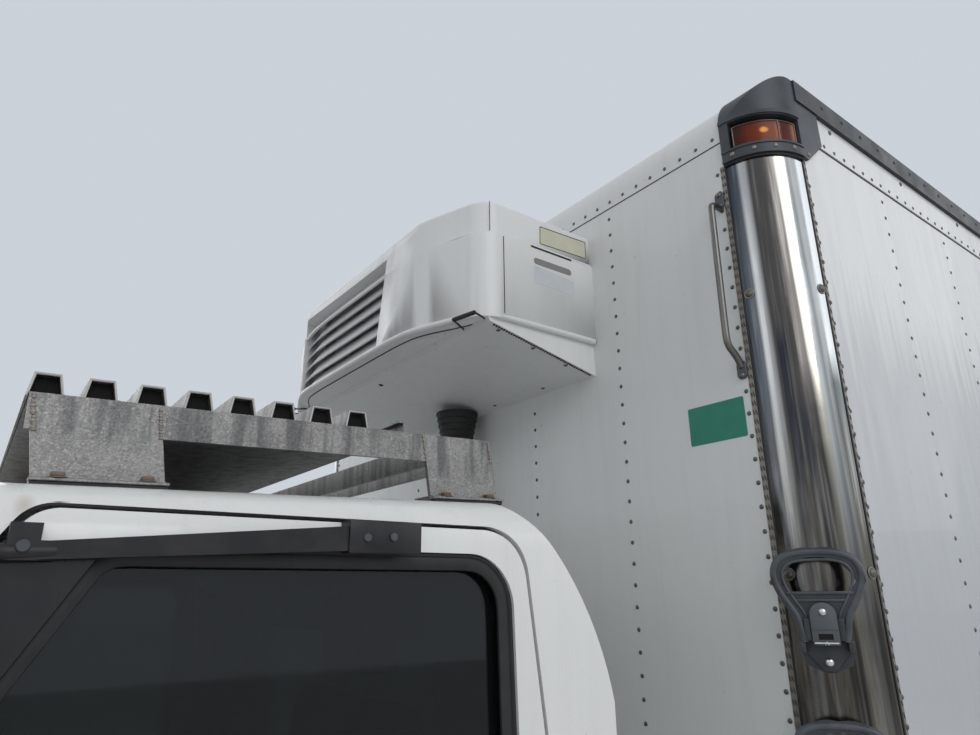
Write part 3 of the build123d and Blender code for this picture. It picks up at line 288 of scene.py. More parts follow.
def post_steel_painted_reflections():
    """Polished stainless sheet round the corner posts, its colour carrying painted reflections: soft vertical bands of
    dark and bright, bright highlight streaks, and darker painted reflections low down.
    """
    f = Finish("polished_steel")
    angle = (abs(f.axis(1)) - POST_Y).angle_from(f.axis(0) - POST_X)
    drift = (f.noise(1.7, 2.0, 0.5, stretch=(0.2, 0.2, 1.0)) - 0.5) * 0.16
    low_down = f.ramp(f.axis(2), 3.25, 1.6)
    turn = angle * (1.0 / math.radians(90)) + drift * low_down
    turn = turn - low_down * 0.1 * (turn > 0.44)
    wavy = f.noise(26.0, 3.0, 0.6, stretch=(1.0, 1.0, 0.05))
    # painted reflections: dark and bright vertical bands by angle round the post; the yellow-white bands are painted
    # highlights
    bands = f.colours(
        turn + (wavy - 0.5) * 0.05,
        [
            (0.0, (0.03, 0.032, 0.036)), (0.06, (0.065, 0.075, 0.09)), (0.13, (0.09, 0.102, 0.115)),
            (0.17, (0.46, 0.47, 0.47)), (0.23, (0.42, 0.42, 0.41)), (0.27, (0.092, 0.086, 0.081)),
            (0.42, (0.105, 0.097, 0.09)), (0.54, (0.08, 0.076, 0.074)), (0.6, (0.72, 0.68, 0.57)),
            (0.66, (0.78, 0.78, 0.76)), (0.71, (0.4, 0.42, 0.43)), (0.76, (0.74, 0.73, 0.69)),
            (0.86, (0.52, 0.55, 0.57)), (0.95, (0.42, 0.43, 0.44)), (1.0, (0.05, 0.05, 0.05))])
    fine = f.noise(90.0, 2.0, 0.6, stretch=(1.0, 1.0, 0.03))
    streaks = f.noise(14.0, 4.0, 0.65, stretch=(1.4, 1.4, 0.1))
    # painted reflections for the lower post: dark brown, tan and blue streaks
    lower = f.colours(
        streaks,
        [
            (0.3, (0.03, 0.031, 0.036)), (0.42, (0.075, 0.066, 0.058)), (0.5, (0.17, 0.152, 0.122)),
            (0.56, (0.08, 0.072, 0.064)), (0.66, (0.24, 0.24, 0.24)), (0.74, (0.055, 0.065, 0.085))])
    ragged = f.axis(2) + (wavy - 0.5) * 0.14
    # painted dark blue reflection patches inside the brown band
    shape = f.ramp(ragged, 2.8, 2.75) * (turn > 0.29) * (turn < 0.38)
    shape = shape + f.ramp(ragged, 2.66, 2.58) * (turn > 0.4) * (turn < 0.46)
    bands = f.mix(shape * 0.8, bands, (0.032, 0.038, 0.055))
    # painted dark reflection along the side-wall edge, low down
    painted_dark_reflection = f.ramp(ragged, 2.74, 2.66) * f.ramp(turn, 0.74, 0.8)
    bands = f.mix(painted_dark_reflection * 0.85, bands, (0.03, 0.042, 0.046))
    # the painted lower reflections take over towards the bottom
    colour = f.mix(f.ramp(f.axis(2), 2.72, 2.3) * 0.8, bands, lower)
    colour = f.mix(f.ramp(fine, 0.52, 0.8) * 0.2, colour, (0.8, 0.79, 0.76))
    smear = f.noise(7.0, 5.0, 0.6)
    return f.surface(
        colour=colour, metal=1.0, rough=f.ramp(smear, 0.35, 0.75, 0.1, 0.26), normal=f.bump(streaks, 0.05, 0.003))


def lamp_cover():
    """Marker lamps: dark amber in front and at the sides, red behind, with a painted highlight (glint) in the corner
    lens and painted shade across its top.
    """
    f = Finish("lamp_cover")
    angle = (abs(f.axis(1)) - POST_Y).angle_from(f.axis(0) - POST_X) * (180 / math.pi)
    height = (f.axis(2) - 3.3145) * 1000.0
    cloud = f.noise(38.0, 4.0, 0.6)
    base = f.colours(
        angle * (1.0 / 90.0) + (cloud - 0.5) * 0.05,
        [
            (0.12, (0.03, 0.008, 0.006)), (0.22, (0.055, 0.012, 0.007)), (0.32, (0.12, 0.022, 0.009)),
            (0.45, (0.17, 0.032, 0.01)), (0.64, (0.2, 0.045, 0.016)), (0.7, (0.42, 0.16, 0.08)),
            (0.73, (0.07, 0.012, 0.007)), (0.86, (0.1, 0.02, 0.01)), (0.93, (0.36, 0.15, 0.09))])
    # painted highlight: a bright amber glint near the middle of the corner lens
    away = ((angle - 46.0) * 0.2) ** 2.0 + (height * 0.13) ** 2.0
    glint = f.ramp(away + (cloud - 0.5) * 2.2, 1.5, 0.2)
    # painted shade across the top of the lens, under the casting's brow
    base = f.mix(f.ramp(height, 8.0, 34.0) * 0.55, base, (0.02, 0.006, 0.005))
    base = f.mix(glint, base, (0.95, 0.36, 0.05))
    other = f.mix(f.axis(0) < -4.3, (0.45, 0.085, 0.012), (0.36, 0.008, 0.008))
    colour = f.mix(f.axis(0) < 1.2, base, other)
    ribs = f.wave("Z", 130.0)
    return f.surface(
        colour=colour, rough=f.ramp(cloud, 0.3, 0.7, 0.2, 0.34), coat=0.0, specular=0.15,
        normal=f.bump(ribs, 0.1, 0.0008), glow=colour, glow_strength=0.1)


def cast_metal(name, colour, worn=0.25):
    """Dark coated casting: sandy surface with bright chips, most on the corner castings' wings."""
    f = Finish(name)
    sand = f.noise(520.0, 3.0, 0.6)
    mottle = f.noise(14.0, 4.0, 0.6)
    chips = f.noise(75.0, 3.0, 0.7)
    wing = (abs(f.axis(1)) > SIDE + 0.005) * (f.axis(0) < POST_X - 0.042)
    base = f.mix(f.ramp(mottle, 0.35, 0.7), colour, tinted(colour, 1.9))
    base = f.mix(f.ramp(chips + wing * 0.07, 0.7, 0.76) * worn, base, (0.42, 0.42, 0.41))
    return f.surface(
        colour=base, rough=f.ramp(mottle, 0.3, 0.7, 0.38, 0.6), metal=0.35, normal=f.bump(sand, 0.25, 0.0008))


def mill_aluminium(name, colour, stain, smears=0.0):
    """Weathered mill-finish aluminium: mottled oxide, coarse speckle, brown stain and dark runs down upright plates."""
    f = Finish(name)
    mottle = f.noise(16.0, 6.0, 0.7)
    grain = f.noise(190.0, 4.0, 0.7)
    cloud = f.noise(3.0, 4.0, 0.55)
    pits = f.cells(240.0)
    base = f.colours(mottle, [(0.3, tinted(colour, 0.62)), (0.5, colour), (0.68, tinted(colour, 1.28))])
    base = f.mix(f.ramp(grain, 0.4, 0.72) * 0.42, base, tinted(colour, 1.4))
    base = f.mix(f.ramp(cloud, 0.52, 0.75) * stain, base, (0.24, 0.2, 0.155))
    if smears:
        salt = f.noise(330.0, 3.0, 0.75)
        base = f.mix(f.ramp(salt, 0.54, 0.66) * 0.55, base, tinted(colour, 2.1))
        base = f.mix(f.ramp(salt, 0.46, 0.34) * 0.6, base, tinted(colour, 0.45))
        runs = f.noise(8.0, 4.0, 0.6, stretch=(5.0, 5.0, 0.5))
        base = f.mix(f.ramp(runs, 0.46, 0.62) * f.ramp(f.axis(2), 2.425, 2.452) * smears, base, (0.06, 0.064, 0.072))
    height = f.ramp(grain, 0.3, 0.7) + f.ramp(pits, 0.0, 0.3) * 0.4
    return f.surface(
        colour=base, metal=0.72, rough=f.ramp(mottle, 0.3, 0.7, 0.34, 0.58), normal=f.bump(height, 0.3, 0.0009))


def plain_metal(name, colour, metal, rough, dust=0.3, stretch=None):
    f = Finish(name)
    mottle = f.noise(11.0, 5.0, 0.62, stretch)
    fine = f.noise(240.0, 2.0, 0.6, stretch)
    base = f.mix(f.ramp(mottle, 0.42, 0.75) * dust, colour, (0.34, 0.31, 0.27))
    return f.surface(
        colour=base, metal=metal, rough=f.ramp(mottle, 0.3, 0.75, rough, min(1.0, rough + 0.2)),
        normal=f.bump(fine, 0.12, 0.0006))


def soft_rubber(name, colour=(0.014, 0.014, 0.015), rough=0.62, dust=0.3):
    f = Finish(name)
    mottle = f.noise(20.0, 5.0, 0.65)
    fine = f.noise(600.0, 2.0, 0.6)
    base = f.mix(f.ramp(mottle, 0.42, 0.75) * dust, colour, (0.12, 0.11, 0.1))
    return f.surface(
        colour=base, rough=f.ramp(mottle, 0.3, 0.75, rough, rough + 0.18), normal=f.bump(fine, 0.2, 0.0005))


def moulded_plastic(name, colour, rough=0.45, dust=0.2):
    f = Finish(name)
    grain = f.cells(900.0)
    mottle = f.noise(9.0, 5.0, 0.6)
    base = f.mix(f.ramp(mottle, 0.42, 0.78) * dust, colour, (0.3, 0.28, 0.25))
    return f.surface(
        colour=base, rough=f.ramp(mottle, 0.3, 0.75, rough, rough + 0.15), normal=f.bump(grain, 0.12, 0.0004))


def seat_cloth():
    f = Finish("seat_cloth")
    weave_x = f.wave("Y", 260.0, 0.4)
    weave_z = f.wave("Z", 260.0, 0.4)
    weave = weave_x * weave_z
    wear = f.noise(6.0, 4.0, 0.6)
    base = f.mix(f.ramp(wear, 0.4, 0.75) * 0.5, (0.035, 0.036, 0.04), (0.085, 0.085, 0.09))
    base = f.mix(weave * 0.4, base, (0.11, 0.11, 0.115))
    return f.surface(colour=base, rough=0.85, normal=f.bump(weave, 0.35, 0.001), sheen=0.2)


def clear_glass(name, colour, rough=0.015):
    f = Finish(name)
    film = f.noise(5.0, 5.0, 0.6)
    return f.surface(
        colour=colour, rough=f.ramp(film, 0.35, 0.8, rough, rough + 0.05), transmission=0.94, ior=1.45, specular=0.25)


def lamp_lens(name, colour):
    """Ribbed lens over a dark reflector."""
    f = Finish(name)
    ribs = f.wave("DIAGONAL", 90.0)
    spots = f.noise(24.0, 3.0, 0.5)
    base = f.mix(f.ramp(spots, 0.35, 0.7), tinted(colour, 0.45), colour)
    return f.surface(colour=base, rough=0.14, coat=0.6, normal=f.bump(ribs, 0.18, 0.001), glow=base, glow_strength=0.06)


def printed_plate(name, colour, edge):
    f = Finish(name)
    fade = f.noise(20.0, 5.0, 0.65)
    base = f.mix(f.ramp(fade, 0.4, 0.72) * 0.45, colour, edge)
    return f.surface(colour=base, rough=f.ramp(fade, 0.3, 0.7, 0.35, 0.55))


def tread_rubber():
    f = Finish("tread_rubber")
    fine = f.noise(420.0, 3.0, 0.6)
    dust = f.noise(7.0, 5.0, 0.65)
    base = f.mix(f.ramp(dust, 0.38, 0.75) * 0.55, (0.018, 0.018, 0.019), (0.1, 0.092, 0.082))
    return f.surface(colour=base, rough=f.ramp(dust, 0.3, 0.75, 0.62, 0.85), normal=f.bump(fine, 0.25, 0.0007))


FINISHES = {}


def make_finishes(paint):
    """All materials, by the name that pieces ask for."""
    box, cab, cast = tuple(paint.box_white), tuple(paint.cab_white), tuple(paint.casting_grey)
    FINISHES.update({
        # film=0.55 paints a blue-grey reflection and shade low on the box sides
        "box_skin": painted_panel("box_skin", box, 0.13, 0.25, 0.34, 0.1, film=0.55),
        "cab_paint": painted_panel("cab_paint", cab, 0.16, 0.1, 0.16, stain=CAB_STAIN),
        "polished_steel": post_steel_painted_reflections(),
        "lamp_plastic": lamp_cover(),
        "tyre": tread_rubber(),
        "seat_fabric": seat_cloth(),
        "glass": clear_glass("tinted_glass", (0.085, 0.105, 0.105)),
        "lamp_glass": clear_glass("lamp_glass", (0.92, 0.94, 0.95), 0.03),
    })
    tables = (
        (painted_panel, (
            ("hood_paint", cab, 0.16, 0.1, 0.2),
            ("unit_paint", (0.76, 0.77, 0.765), 0.12, 0.22, 0.42),
            ("unit_grille", (0.62, 0.63, 0.63), 0.2, 0.2, 0.45),
        )),
        (cast_metal, (
            ("dark_casting", cast),
            ("dark_rail", tinted(cast, 0.62), 0.06),
            ("step_casting", tinted(cast, 1.6), 0.22),
        )),
        (mill_aluminium, (
            ("mill_aluminium", (0.25, 0.245, 0.235), 0.3, 0.6),
            ("floor_aluminium", (0.5, 0.51, 0.52), 0.2),
        )),
        (plain_metal, (
            ("tank_aluminium", (0.74, 0.75, 0.76), 1.0, 0.24, 0.25, (0.2, 6.0, 6.0)),
            ("rear_frame_steel", (0.62, 0.63, 0.64), 1.0, 0.28, 0.2, (6.0, 6.0, 0.3)),
            ("handle_steel", (0.15, 0.147, 0.14), 0.9, 0.26, 0.3),
            ("bumper_steel", (0.8, 0.81, 0.82), 1.0, 0.14, 0.15),
            ("black_steel", (0.022, 0.023, 0.025), 0.3, 0.48, 0.45),
            ("mirror_black", (0.011, 0.011, 0.013), 0.2, 0.36, 0.08),
            ("cast_iron", (0.07, 0.068, 0.065), 0.6, 0.55, 0.4),
            ("wheel_paint", (0.72, 0.725, 0.72), 0.2, 0.3, 0.3),
            ("bolt_steel", (0.14, 0.135, 0.13), 0.85, 0.38, 0.3),
            ("rivet_steel", (0.11, 0.11, 0.108), 0.85, 0.34, 0.25),
            ("bright_steel", (0.75, 0.75, 0.74), 1.0, 0.2, 0.2),
            ("rust_bolt", (0.2, 0.12, 0.075), 0.4, 0.6, 0.5),
            ("mirror_glass", (0.55, 0.58, 0.6), 1.0, 0.05, 0.05),
            ("trim_steel", (0.25, 0.23, 0.205), 0.85, 0.4, 0.35),
            ("trim_mark", (0.06, 0.056, 0.052), 0.6, 0.42, 0.3),
            ("edge_metal", (0.62, 0.6, 0.57), 0.8, 0.42, 0.3),
            ("weld_metal", (0.33, 0.3, 0.275), 0.75, 0.48, 0.75),
            ("step_tongue", (0.105, 0.118, 0.13), 0.55, 0.4, 0.15),
            # painted shade of the cooling unit's handle recess; also the hub window's grey
            ("cup_shade", (0.22, 0.22, 0.21), 0.0, 0.6, 0.3),
            ("coil_dark", (0.055, 0.056, 0.058), 0.5, 0.6, 0.4),
        )),
        (moulded_plastic, (
            ("gloss_black", (0.01, 0.01, 0.011), 0.06, 0.05),
            ("dark_plastic", (0.018, 0.018, 0.02)),
            ("grille_plastic", (0.03, 0.031, 0.033), 0.4),
        )),
        (soft_rubber, (
            ("black_rubber",),
            ("gasket", (0.01, 0.01, 0.011), 0.5, 0.15),
            # painted shade: near-black for holes, slots, cuts, gaps and hollows; also plain black gauge faces and vent
            # slats
            ("dark_void", (0.006, 0.006, 0.006), 0.9, 0.05),
        )),
        (lamp_lens, (
            ("amber_rib", (0.11, 0.035, 0.018)),
            ("amber_lens", (0.52, 0.1, 0.012)),
            ("red_lens", (0.42, 0.008, 0.008)),
            ("clear_lens", (0.75, 0.77, 0.78)),
        )),
        (printed_plate, (
            ("tape_red", (0.42, 0.012, 0.014), (0.3, 0.03, 0.03)),
            ("label_green", tuple(paint.label_green), (0.05, 0.27, 0.2)),
            ("label_pale", (0.6, 0.63, 0.66), (0.48, 0.5, 0.52)),
            ("label_yellow", (0.62, 0.61, 0.47), (0.45, 0.46, 0.38)),
        )),
    )
    for maker, rows in tables:
        for name, *values in rows:
            FINISHES[name] = maker(name, *values)


# Modelling helpers


ACROSS = Matrix.Diagonal((1, -1, 1, 1))
shift_by = Matrix.Translation


def turn_by(degrees, axis):
    return Matrix.Rotation(math.radians(degrees), 4, axis)


def clear_selection():
    if bpy.context.object and bpy.context.object.mode != "OBJECT":
        bpy.ops.object.mode_set(mode="OBJECT")
    bpy.ops.object.select_all(action="DESELECT")


def activate(*objects):
    clear_selection()
    for o in objects:
        o.select_set(True)
    bpy.context.view_layer.objects.active = objects[0]


def settle(obj):
    """Moves the object's place into its mesh."""
    activate(obj)
    bpy.ops.object.transform_apply(location=True, rotation=True, scale=True)
    return obj


def apply_all(obj):
    activate(obj)
    for modifier in list(obj.modifiers):
        bpy.ops.object.modifier_apply(modifier=modifier.name)
    return obj


def finish_piece(obj, finish, body="root", slot=None, smooth=40.0):
    """Names the material and rides the piece; slot is not used."""
    settle(obj)
    obj.data.materials.clear()
    obj.data.materials.append(FINISHES[finish])
    if smooth:
        activate(obj)
        bpy.ops.object.shade_smooth_by_angle(angle=math.radians(smooth))
    clear_selection()
    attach(obj, body)
    return obj


def joined(name, objects):
    activate(*objects)
    if len(objects) > 1:
        bpy.ops.object.join()
    obj = bpy.context.view_layer.objects.active
    obj.name = name
    obj.data.name = name
    return obj


def start(kind, **sizes):
    """A mesh primitive at its size and place, with nothing else selected."""
    clear_selection()
    getattr(bpy.ops.mesh, f"primitive_{kind}_add")(**sizes)
    return bpy.context.object


@contextmanager
def editing(obj, kind="FACE", action="DESELECT"):
    activate(obj)
    bpy.ops.object.mode_set(mode="EDIT")
    bpy.ops.mesh.select_mode(type=kind)
    bpy.ops.mesh.select_all(action=action)
    yield
    bpy.ops.object.mode_set(mode="OBJECT")


def pick_faces(obj, wanted):
    """Selects the faces of which wanted(middle, normal) holds."""
    shape = bmesh.from_edit_mesh(obj.data)
    for face in shape.faces:
        face.select_set(bool(wanted(face.calc_center_median(), face.normal)))
    bmesh.update_edit_mesh(obj.data)


def face_out(obj):
    with editing(obj, action="SELECT"):
        bpy.ops.mesh.remove_doubles(threshold=1e-6)
        bpy.ops.mesh.normals_make_consistent(inside=False)
    return obj


def eased(obj, width, steps=1, angle=30.0):
    """Breaks the sharp edges."""
    bevel = obj.modifiers.new("edge", "BEVEL")
    bevel.width = width
    bevel.segments = steps
    bevel.limit_method = "ANGLE"
    bevel.angle_limit = math.radians(angle)
    return apply_all(obj)


def slab(low, high, edge=0.001, steps=1):
    """A bar or strip between two corners, with eased edges."""
    size = [h - l for l, h in zip(low, high)]
    obj = start("cube", size=1.0, location=[(l + h) / 2 for l, h in zip(low, high)])
    obj.scale = size
    settle(obj)
    return eased(obj, min(edge, 0.45 * min(size)), steps) if edge else obj


def plate(outline, depth, edge=0.001, steps=1):
    """A plate cut to an outline and pushed out to its depth."""
    obj = start("circle", vertices=len(outline), fill_type="NGON")
    for vertex, point in zip(obj.data.vertices, outline):
        vertex.co = point
    with editing(obj, action="SELECT"):
        bpy.ops.mesh.extrude_region_move(TRANSFORM_OT_translate={"value": depth})
    face_out(obj)
    return eased(obj, edge, steps) if edge else obj


def turned(profile, centre, axis, start_way, steps, angle=360.0):
    """Spins a closed profile of (distance from the axis, place along it) round the axis."""
    axis, out = Vector(axis), Vector(start_way)
    obj = start("circle", vertices=len(profile), fill_type="NOTHING")
    for vertex, (radius, along) in zip(obj.data.vertices, profile):
        vertex.co = Vector(centre) + out * radius + axis * along
    with editing(obj, "VERT", "SELECT"):
        bpy.ops.mesh.spin(steps=steps, angle=math.radians(angle), center=centre, axis=axis)
        if angle < 360:
            bpy.ops.mesh.select_all(action="SELECT")
            bpy.ops.mesh.fill_holes(sides=0)
    return face_out(obj)


def knob(radius, height, sides=12, edge=0.001, steps=1):
    """A round or many-sided head standing on the origin along +Z."""
    obj = start("cylinder", vertices=sides, radius=radius, depth=height, location=(0, 0, height / 2))
    settle(obj)
    return eased(obj, edge, steps)


def domed(radius, height, segments=8, rings=6):
    """A domed head standing on the origin along +Z."""
    obj = start("uv_sphere", segments=segments, ring_count=rings, radius=radius)
    with editing(obj, action="SELECT"):
        bpy.ops.mesh.bisect(plane_co=ORIGIN, plane_no=UP, use_fill=True, clear_inner=True)
    obj.scale = (1, 1, height / radius)
    return settle(obj)


def wire(points, radius, smooth=False, closed=False, sides=3, ends=True):
    """A round bar along points, made a mesh."""
    data = bpy.data.curves.new("wire", "CURVE")
    data.dimensions = "3D"
    data.bevel_depth = radius
    data.bevel_resolution = sides
    data.use_fill_caps = ends and not closed
    data.resolution_u = 6
    spline = data.splines.new("NURBS" if smooth else "POLY")
    spline.points.add(len(points) - 1)
    for knot, point in zip(spline.points, points):
        knot.co = (*point, 1.0)
    spline.use_cyclic_u = closed
    if smooth:
        spline.order_u = 3
        spline.use_endpoint_u = not closed
    obj = bpy.data.objects.new("wire", data)
    bpy.context.scene.collection.objects.link(obj)
    activate(obj)
    bpy.ops.object.convert(target="MESH")
    return face_out(bpy.context.object)


def aim(facing):
    """The turn that takes +Z to a direction."""
    if Vector(facing) == Vector(UP):
        return Matrix.Identity(4)
    return Vector(facing).to_track_quat("Z", "Y").to_matrix().to_4x4()


def seated(obj, place, facing=UP):
    """Puts a shape made at the origin to its place, its +Z turned to a way."""
    obj.data.transform(shift_by(place) @ aim(facing))
    return obj


def copied(seed, matrix):
    """A copy with its own mesh, put in place by a matrix."""
    obj = seed.copy()
    obj.data = seed.data.copy()
    bpy.context.scene.collection.objects.link(obj)
    obj.data.transform(matrix)
    if matrix.determinant() < 0:
        obj.data.flip_normals()
    return obj


def placed(seed, places, facing=UP):
    return [copied(seed, shift_by(Vector(p)) @ aim(facing)) for p in places]


def arrayed(obj, step, count):
    """Repeats a shape along a line, as one mesh."""
    line = obj.modifiers.new("row", "ARRAY")
    line.use_relative_offset = False
    line.use_constant_offset = True
    line.constant_offset_displace = step
    line.count = count
    return apply_all(obj)


def row(seed, first, step, count, facing=UP):
    """A line of copies as one mesh."""
    return arrayed(placed(seed, [first], facing)[0], step, count)


def drop(*seeds):
    for seed in seeds:
        bpy.data.objects.remove(seed, do_unlink=True)


def other_side(objects):
    """The same shapes on the truck's other side."""
    return [copied(o, ACROSS) for o in objects]


def rounded(points, radii, steps=5):
    """A flat outline with its corners rounded; points are pairs."""
    count = len(points)
    outline = []
    for k in range(count):
        here = Vector(points[k])
        back, ahead = (Vector(points[k - 1]) - here).normalized(), (Vector(points[(k + 1) % count]) - here).normalized()
        radius = radii[k] if isinstance(radii, (list, tuple)) else radii
        if radius <= 0:
            outline.append(tuple(here))
            continue
        half = back.angle(ahead) / 2
        centre = here + (back + ahead).normalized() * (radius / math.sin(half))
        first, last = here + back * (
            radius / math.tan(half)) - centre, here + ahead * (radius / math.tan(half)) - centre
        for i in range(steps + 1):
            outline.append(tuple(centre + first.slerp(last, i / steps).normalized() * radius))
    return outline


def rounded_box(low, high, radii, steps=5):
    """A rounded rectangle between two corners, as pairs."""
    return rounded([low, (high[0], low[1]), high, (low[0], high[1])], radii, steps)


def plate_x(x, outline, depth, edge=0.001, steps=1):
    """A plate that faces forward, from an outline of (y, z)."""
    return plate([(x, y, z) for y, z in outline], (depth, 0, 0), edge, steps)


def plate_y(y, outline, depth, edge=0.001, steps=1):
    """A plate that faces sideways, from an outline of (x, z)."""
    return plate([(x, y, z) for x, z in outline], (0, depth, 0), edge, steps)


def pair(name, shapes, finish, body="root", slot=None):
    """A piece on the left and its mirror image on the right, each on its body where two are given."""
    bodies = body if isinstance(body, tuple) else (body, body)
    left = joined(f"{name}_left", shapes)
    right = copied(left, ACROSS)
    right.name = right.data.name = f"{name}_right"
    return finish_piece(left, finish, bodies[0], slot), finish_piece(right, finish, bodies[1], slot)


def touch(node, origin, way, out=0.0):
    """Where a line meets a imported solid, moved a little off its surface."""
    hit, point, normal, _ = NODES[node].ray_cast(Vector(origin), Vector(way).normalized())
    if not hit:
        raise RuntimeError(f"no surface of {node} at {tuple(origin)}")
    return point - Vector(way).normalized() * out


def piece(name, shapes, finish, body="root", slot=None):
    return finish_piece(joined(name, shapes), finish, body, slot)


def slabs(boxes, edge=0.002, steps=1):
    return [slab(low, high, edge, steps) for low, high in boxes]


def heads(spots, facing, radius=0.0075, height=0.0045, sides=6):
    """Bolt heads at places, all facing one way."""
    seed = knob(radius, height, sides, min(0.001, height * 0.3)) if sides == 6 else domed(radius, height, 10, 6)
    made = placed(seed, spots, facing)
    drop(seed)
    return made


# The stage


class TRUCK_OT_stage(bpy.types.Operator):
    """Floor, lamps, world and the camera at the photograph's viewing angle"""

    bl_idname = "truck.stage"
    bl_label = "Stage"

    def execute(self, context):
        s = context.scene.truck_stage
        clear_selection()
        bpy.ops.mesh.primitive_plane_add(size=160.0, location=(0, 0, -0.002))
        floor = context.object
        floor.name = "floor"
        f = Finish("pale_floor")
        cloud = f.noise(0.4, 3.0, 0.5)
        floor.data.materials.append(
            f.surface(colour=f.mix(f.ramp(cloud, 0.3, 0.7), (0.7, 0.7, 0.695), (0.74, 0.74, 0.735)), rough=0.8)
        )

        sky = Finish("soft_studio", bpy.data.worlds)
        context.scene.world = sky.material
        light = sky.add("ShaderNodeBackground", {}, {"Color": (0.93, 0.96, 1.0, 1.0), "Strength": s.sky_strength})
        seen = sky.add("ShaderNodeBackground", {}, {"Color": (0.6, 0.64, 0.69, 1.0), "Strength": 1.0})
        rays = [
            sky.add("ShaderNodeLightPath", output=f"Is {kind} Ray") for kind in ("Camera", "Glossy", "Transmission")]
        mixed = sky.add("ShaderNodeMixShader", {}, {0: rays[0].larger(rays[1]).larger(rays[2]), 1: light, 2: seen})
        sky.add("ShaderNodeOutputWorld", {}, {"Surface": mixed})

        for name, place, size, power in (
            ("key_lamp", (3.5, 11.0, 9.0), 7.0, s.key_power),
            ("fill_lamp", (-9.0, 8.0, 7.0), 8.0, s.key_power * 0.5),
            ("far_lamp", (3.0, -11.0, 7.0), 8.0, s.key_power * 0.7),
            ("front_lamp", (13.0, 0.0, 6.0), 6.0, s.key_power * 0.16),
        ):
            data = bpy.data.lights.new(name, "AREA")
            data.energy = power
            data.size = size
            lamp = bpy.data.objects.new(name, data)
            context.scene.collection.objects.link(lamp)
            lamp.location = place
            lamp.rotation_euler = (Vector((0, 0, 1.5)) - Vector(place)).to_track_quat("-Z", "Y").to_euler()

        yaw, pitch, roll = (math.radians(a) for a in (s.camera_heading, s.camera_pitch, s.camera_roll))
        heading = Vector((-math.sin(yaw), -math.cos(yaw), 0))
        right = Vector((-math.cos(yaw), math.sin(yaw), 0))
        forward = heading * math.cos(pitch) + Vector((0, 0, math.sin(pitch)))
        down = -right.cross(forward)
        side = right * math.cos(roll) + down * math.sin(roll)
        up = side.cross(forward)
        data = bpy.data.cameras.new("camera")
        data.lens = s.camera_lens
        data.sensor_width = 36.0
        data.clip_start = 0.05
        data.clip_end = 300.0
        camera = bpy.data.objects.new("camera", data)
        context.scene.collection.objects.link(camera)
        turn = Matrix((side, up, -forward)).transposed().to_4x4()
        camera.matrix_world = shift_by(Vector(s.camera_place)) @ turn
        context.scene.camera = camera
        context.scene.view_settings.view_transform = "Standard"
        return {"FINISHED"}


class TRUCK_OT_finishes(bpy.types.Operator):
    """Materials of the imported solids"""

    bl_idname = "truck.finishes"
    bl_label = "Finishes"

    def execute(self, context):
        make_finishes(context.scene.truck_paint)
        slots = {part["node"]: part["material_slot"] for part in frame["record"]["subparts"]}
        for name, node in NODES.items():
            node.data.materials.clear()
            node.data.materials.append(FINISHES["mirror_black" if name.startswith("door_mirror") else slots[name]])
        return {"FINISHED"}


def post_point(angle, z, out=0.0):
    """A point on the corner post's face, by its angle from straight ahead."""
    a = math.radians(angle)
    return (POST_X + (POST_R + out) * math.cos(a), POST_Y + (POST_R + out) * math.sin(a), z)


def post_facing(angle):
    """The way that the corner post's face looks at an angle from straight ahead."""
    a = math.radians(angle)
    return (math.cos(a), math.sin(a), 0)


def round_post(profile):
    """A quarter ring round the corner post, from a profile of (distance from its axis, height)."""
    return turned(profile, (POST_X, POST_Y, 0), UP, LEFT, 24, 90)


class TRUCK_OT_rivets(bpy.types.Operator):
    """Rivet rows of the walls, seams and rails"""

    bl_idname = "truck.rivets"
    bl_label = "Rivets"

    def execute(self, context):
        seed = domed(0.0056, 0.003)
        bolt = domed(0.0072, 0.0042, 10)
        down, back = (0, 0, -RIVET_PITCH), (-RIVET_PITCH, 0, 0)
        face_x, face_y = FRONT - 0.0003, SIDE - 0.0003
        front = []
        for y, first, count in ((0.0, 2.7737, 32), (0.3439, 2.7737, 32), (0.7021, 3.2817, 42), (1.0678, 3.2309, 41)):
            for place in {y, -y}:
                front.append(row(seed, (face_x, place, first), down, count, AHEAD))
        front.append(row(seed, (face_x + 0.002, -1.0668, SEAM_Z + 0.018), (0, RIVET_PITCH, 0), 43, AHEAD))
        front.append(row(bolt, (face_x + 0.0035, -1.02, WALL_LOW + 0.05), (0, 0.204, 0), 11, AHEAD))
        piece("rivets_front_wall", front, "rivet_steel", slot="box_skin")

        side = [row(seed, (1.3593, face_y, 3.174), down, 40, LEFT)]
        columns = [0.9503 - 0.4055 * k for k in range(14)]
        side += [row(seed, (x, face_y, 3.278), down, 41, LEFT) for x in columns]
        side.append(row(seed, (1.247, face_y + 0.002, SEAM_Z + 0.017), back, 113, LEFT))
        side.append(row(bolt, (1.2, face_y + 0.002, 3.395), (-0.4064, 0, 0), 14, LEFT))
        side.append(row(bolt, (1.3, face_y + 0.004, WALL_LOW + 0.022), (-0.2032, 0, 0), 29, LEFT))
        rail = [row(seed, (1.24, face_y + 0.012, TOP - 0.018), (-0.1016, 0, 0), 56, LEFT)]
        wall = joined("rivets_left_wall", side)
        lip = joined("rivets_left_rail", rail)
        for left_piece, name in ((wall, "rivets_right_wall"), (lip, "rivets_right_rail")):
            right_piece = copied(left_piece, ACROSS)
            right_piece.name = name
            finish_piece(right_piece, *(("rivet_steel", "root", "box_skin") if left_piece is wall else ("dark_rail",)))
        finish_piece(wall, "rivet_steel", slot="box_skin")
        finish_piece(lip, "dark_rail")
        drop(seed, bolt)
        return {"FINISHED"}


MARK_PITCH = 0.0205
POST_BOLT_Z = (1.2, 1.667, 2.281, 2.895)


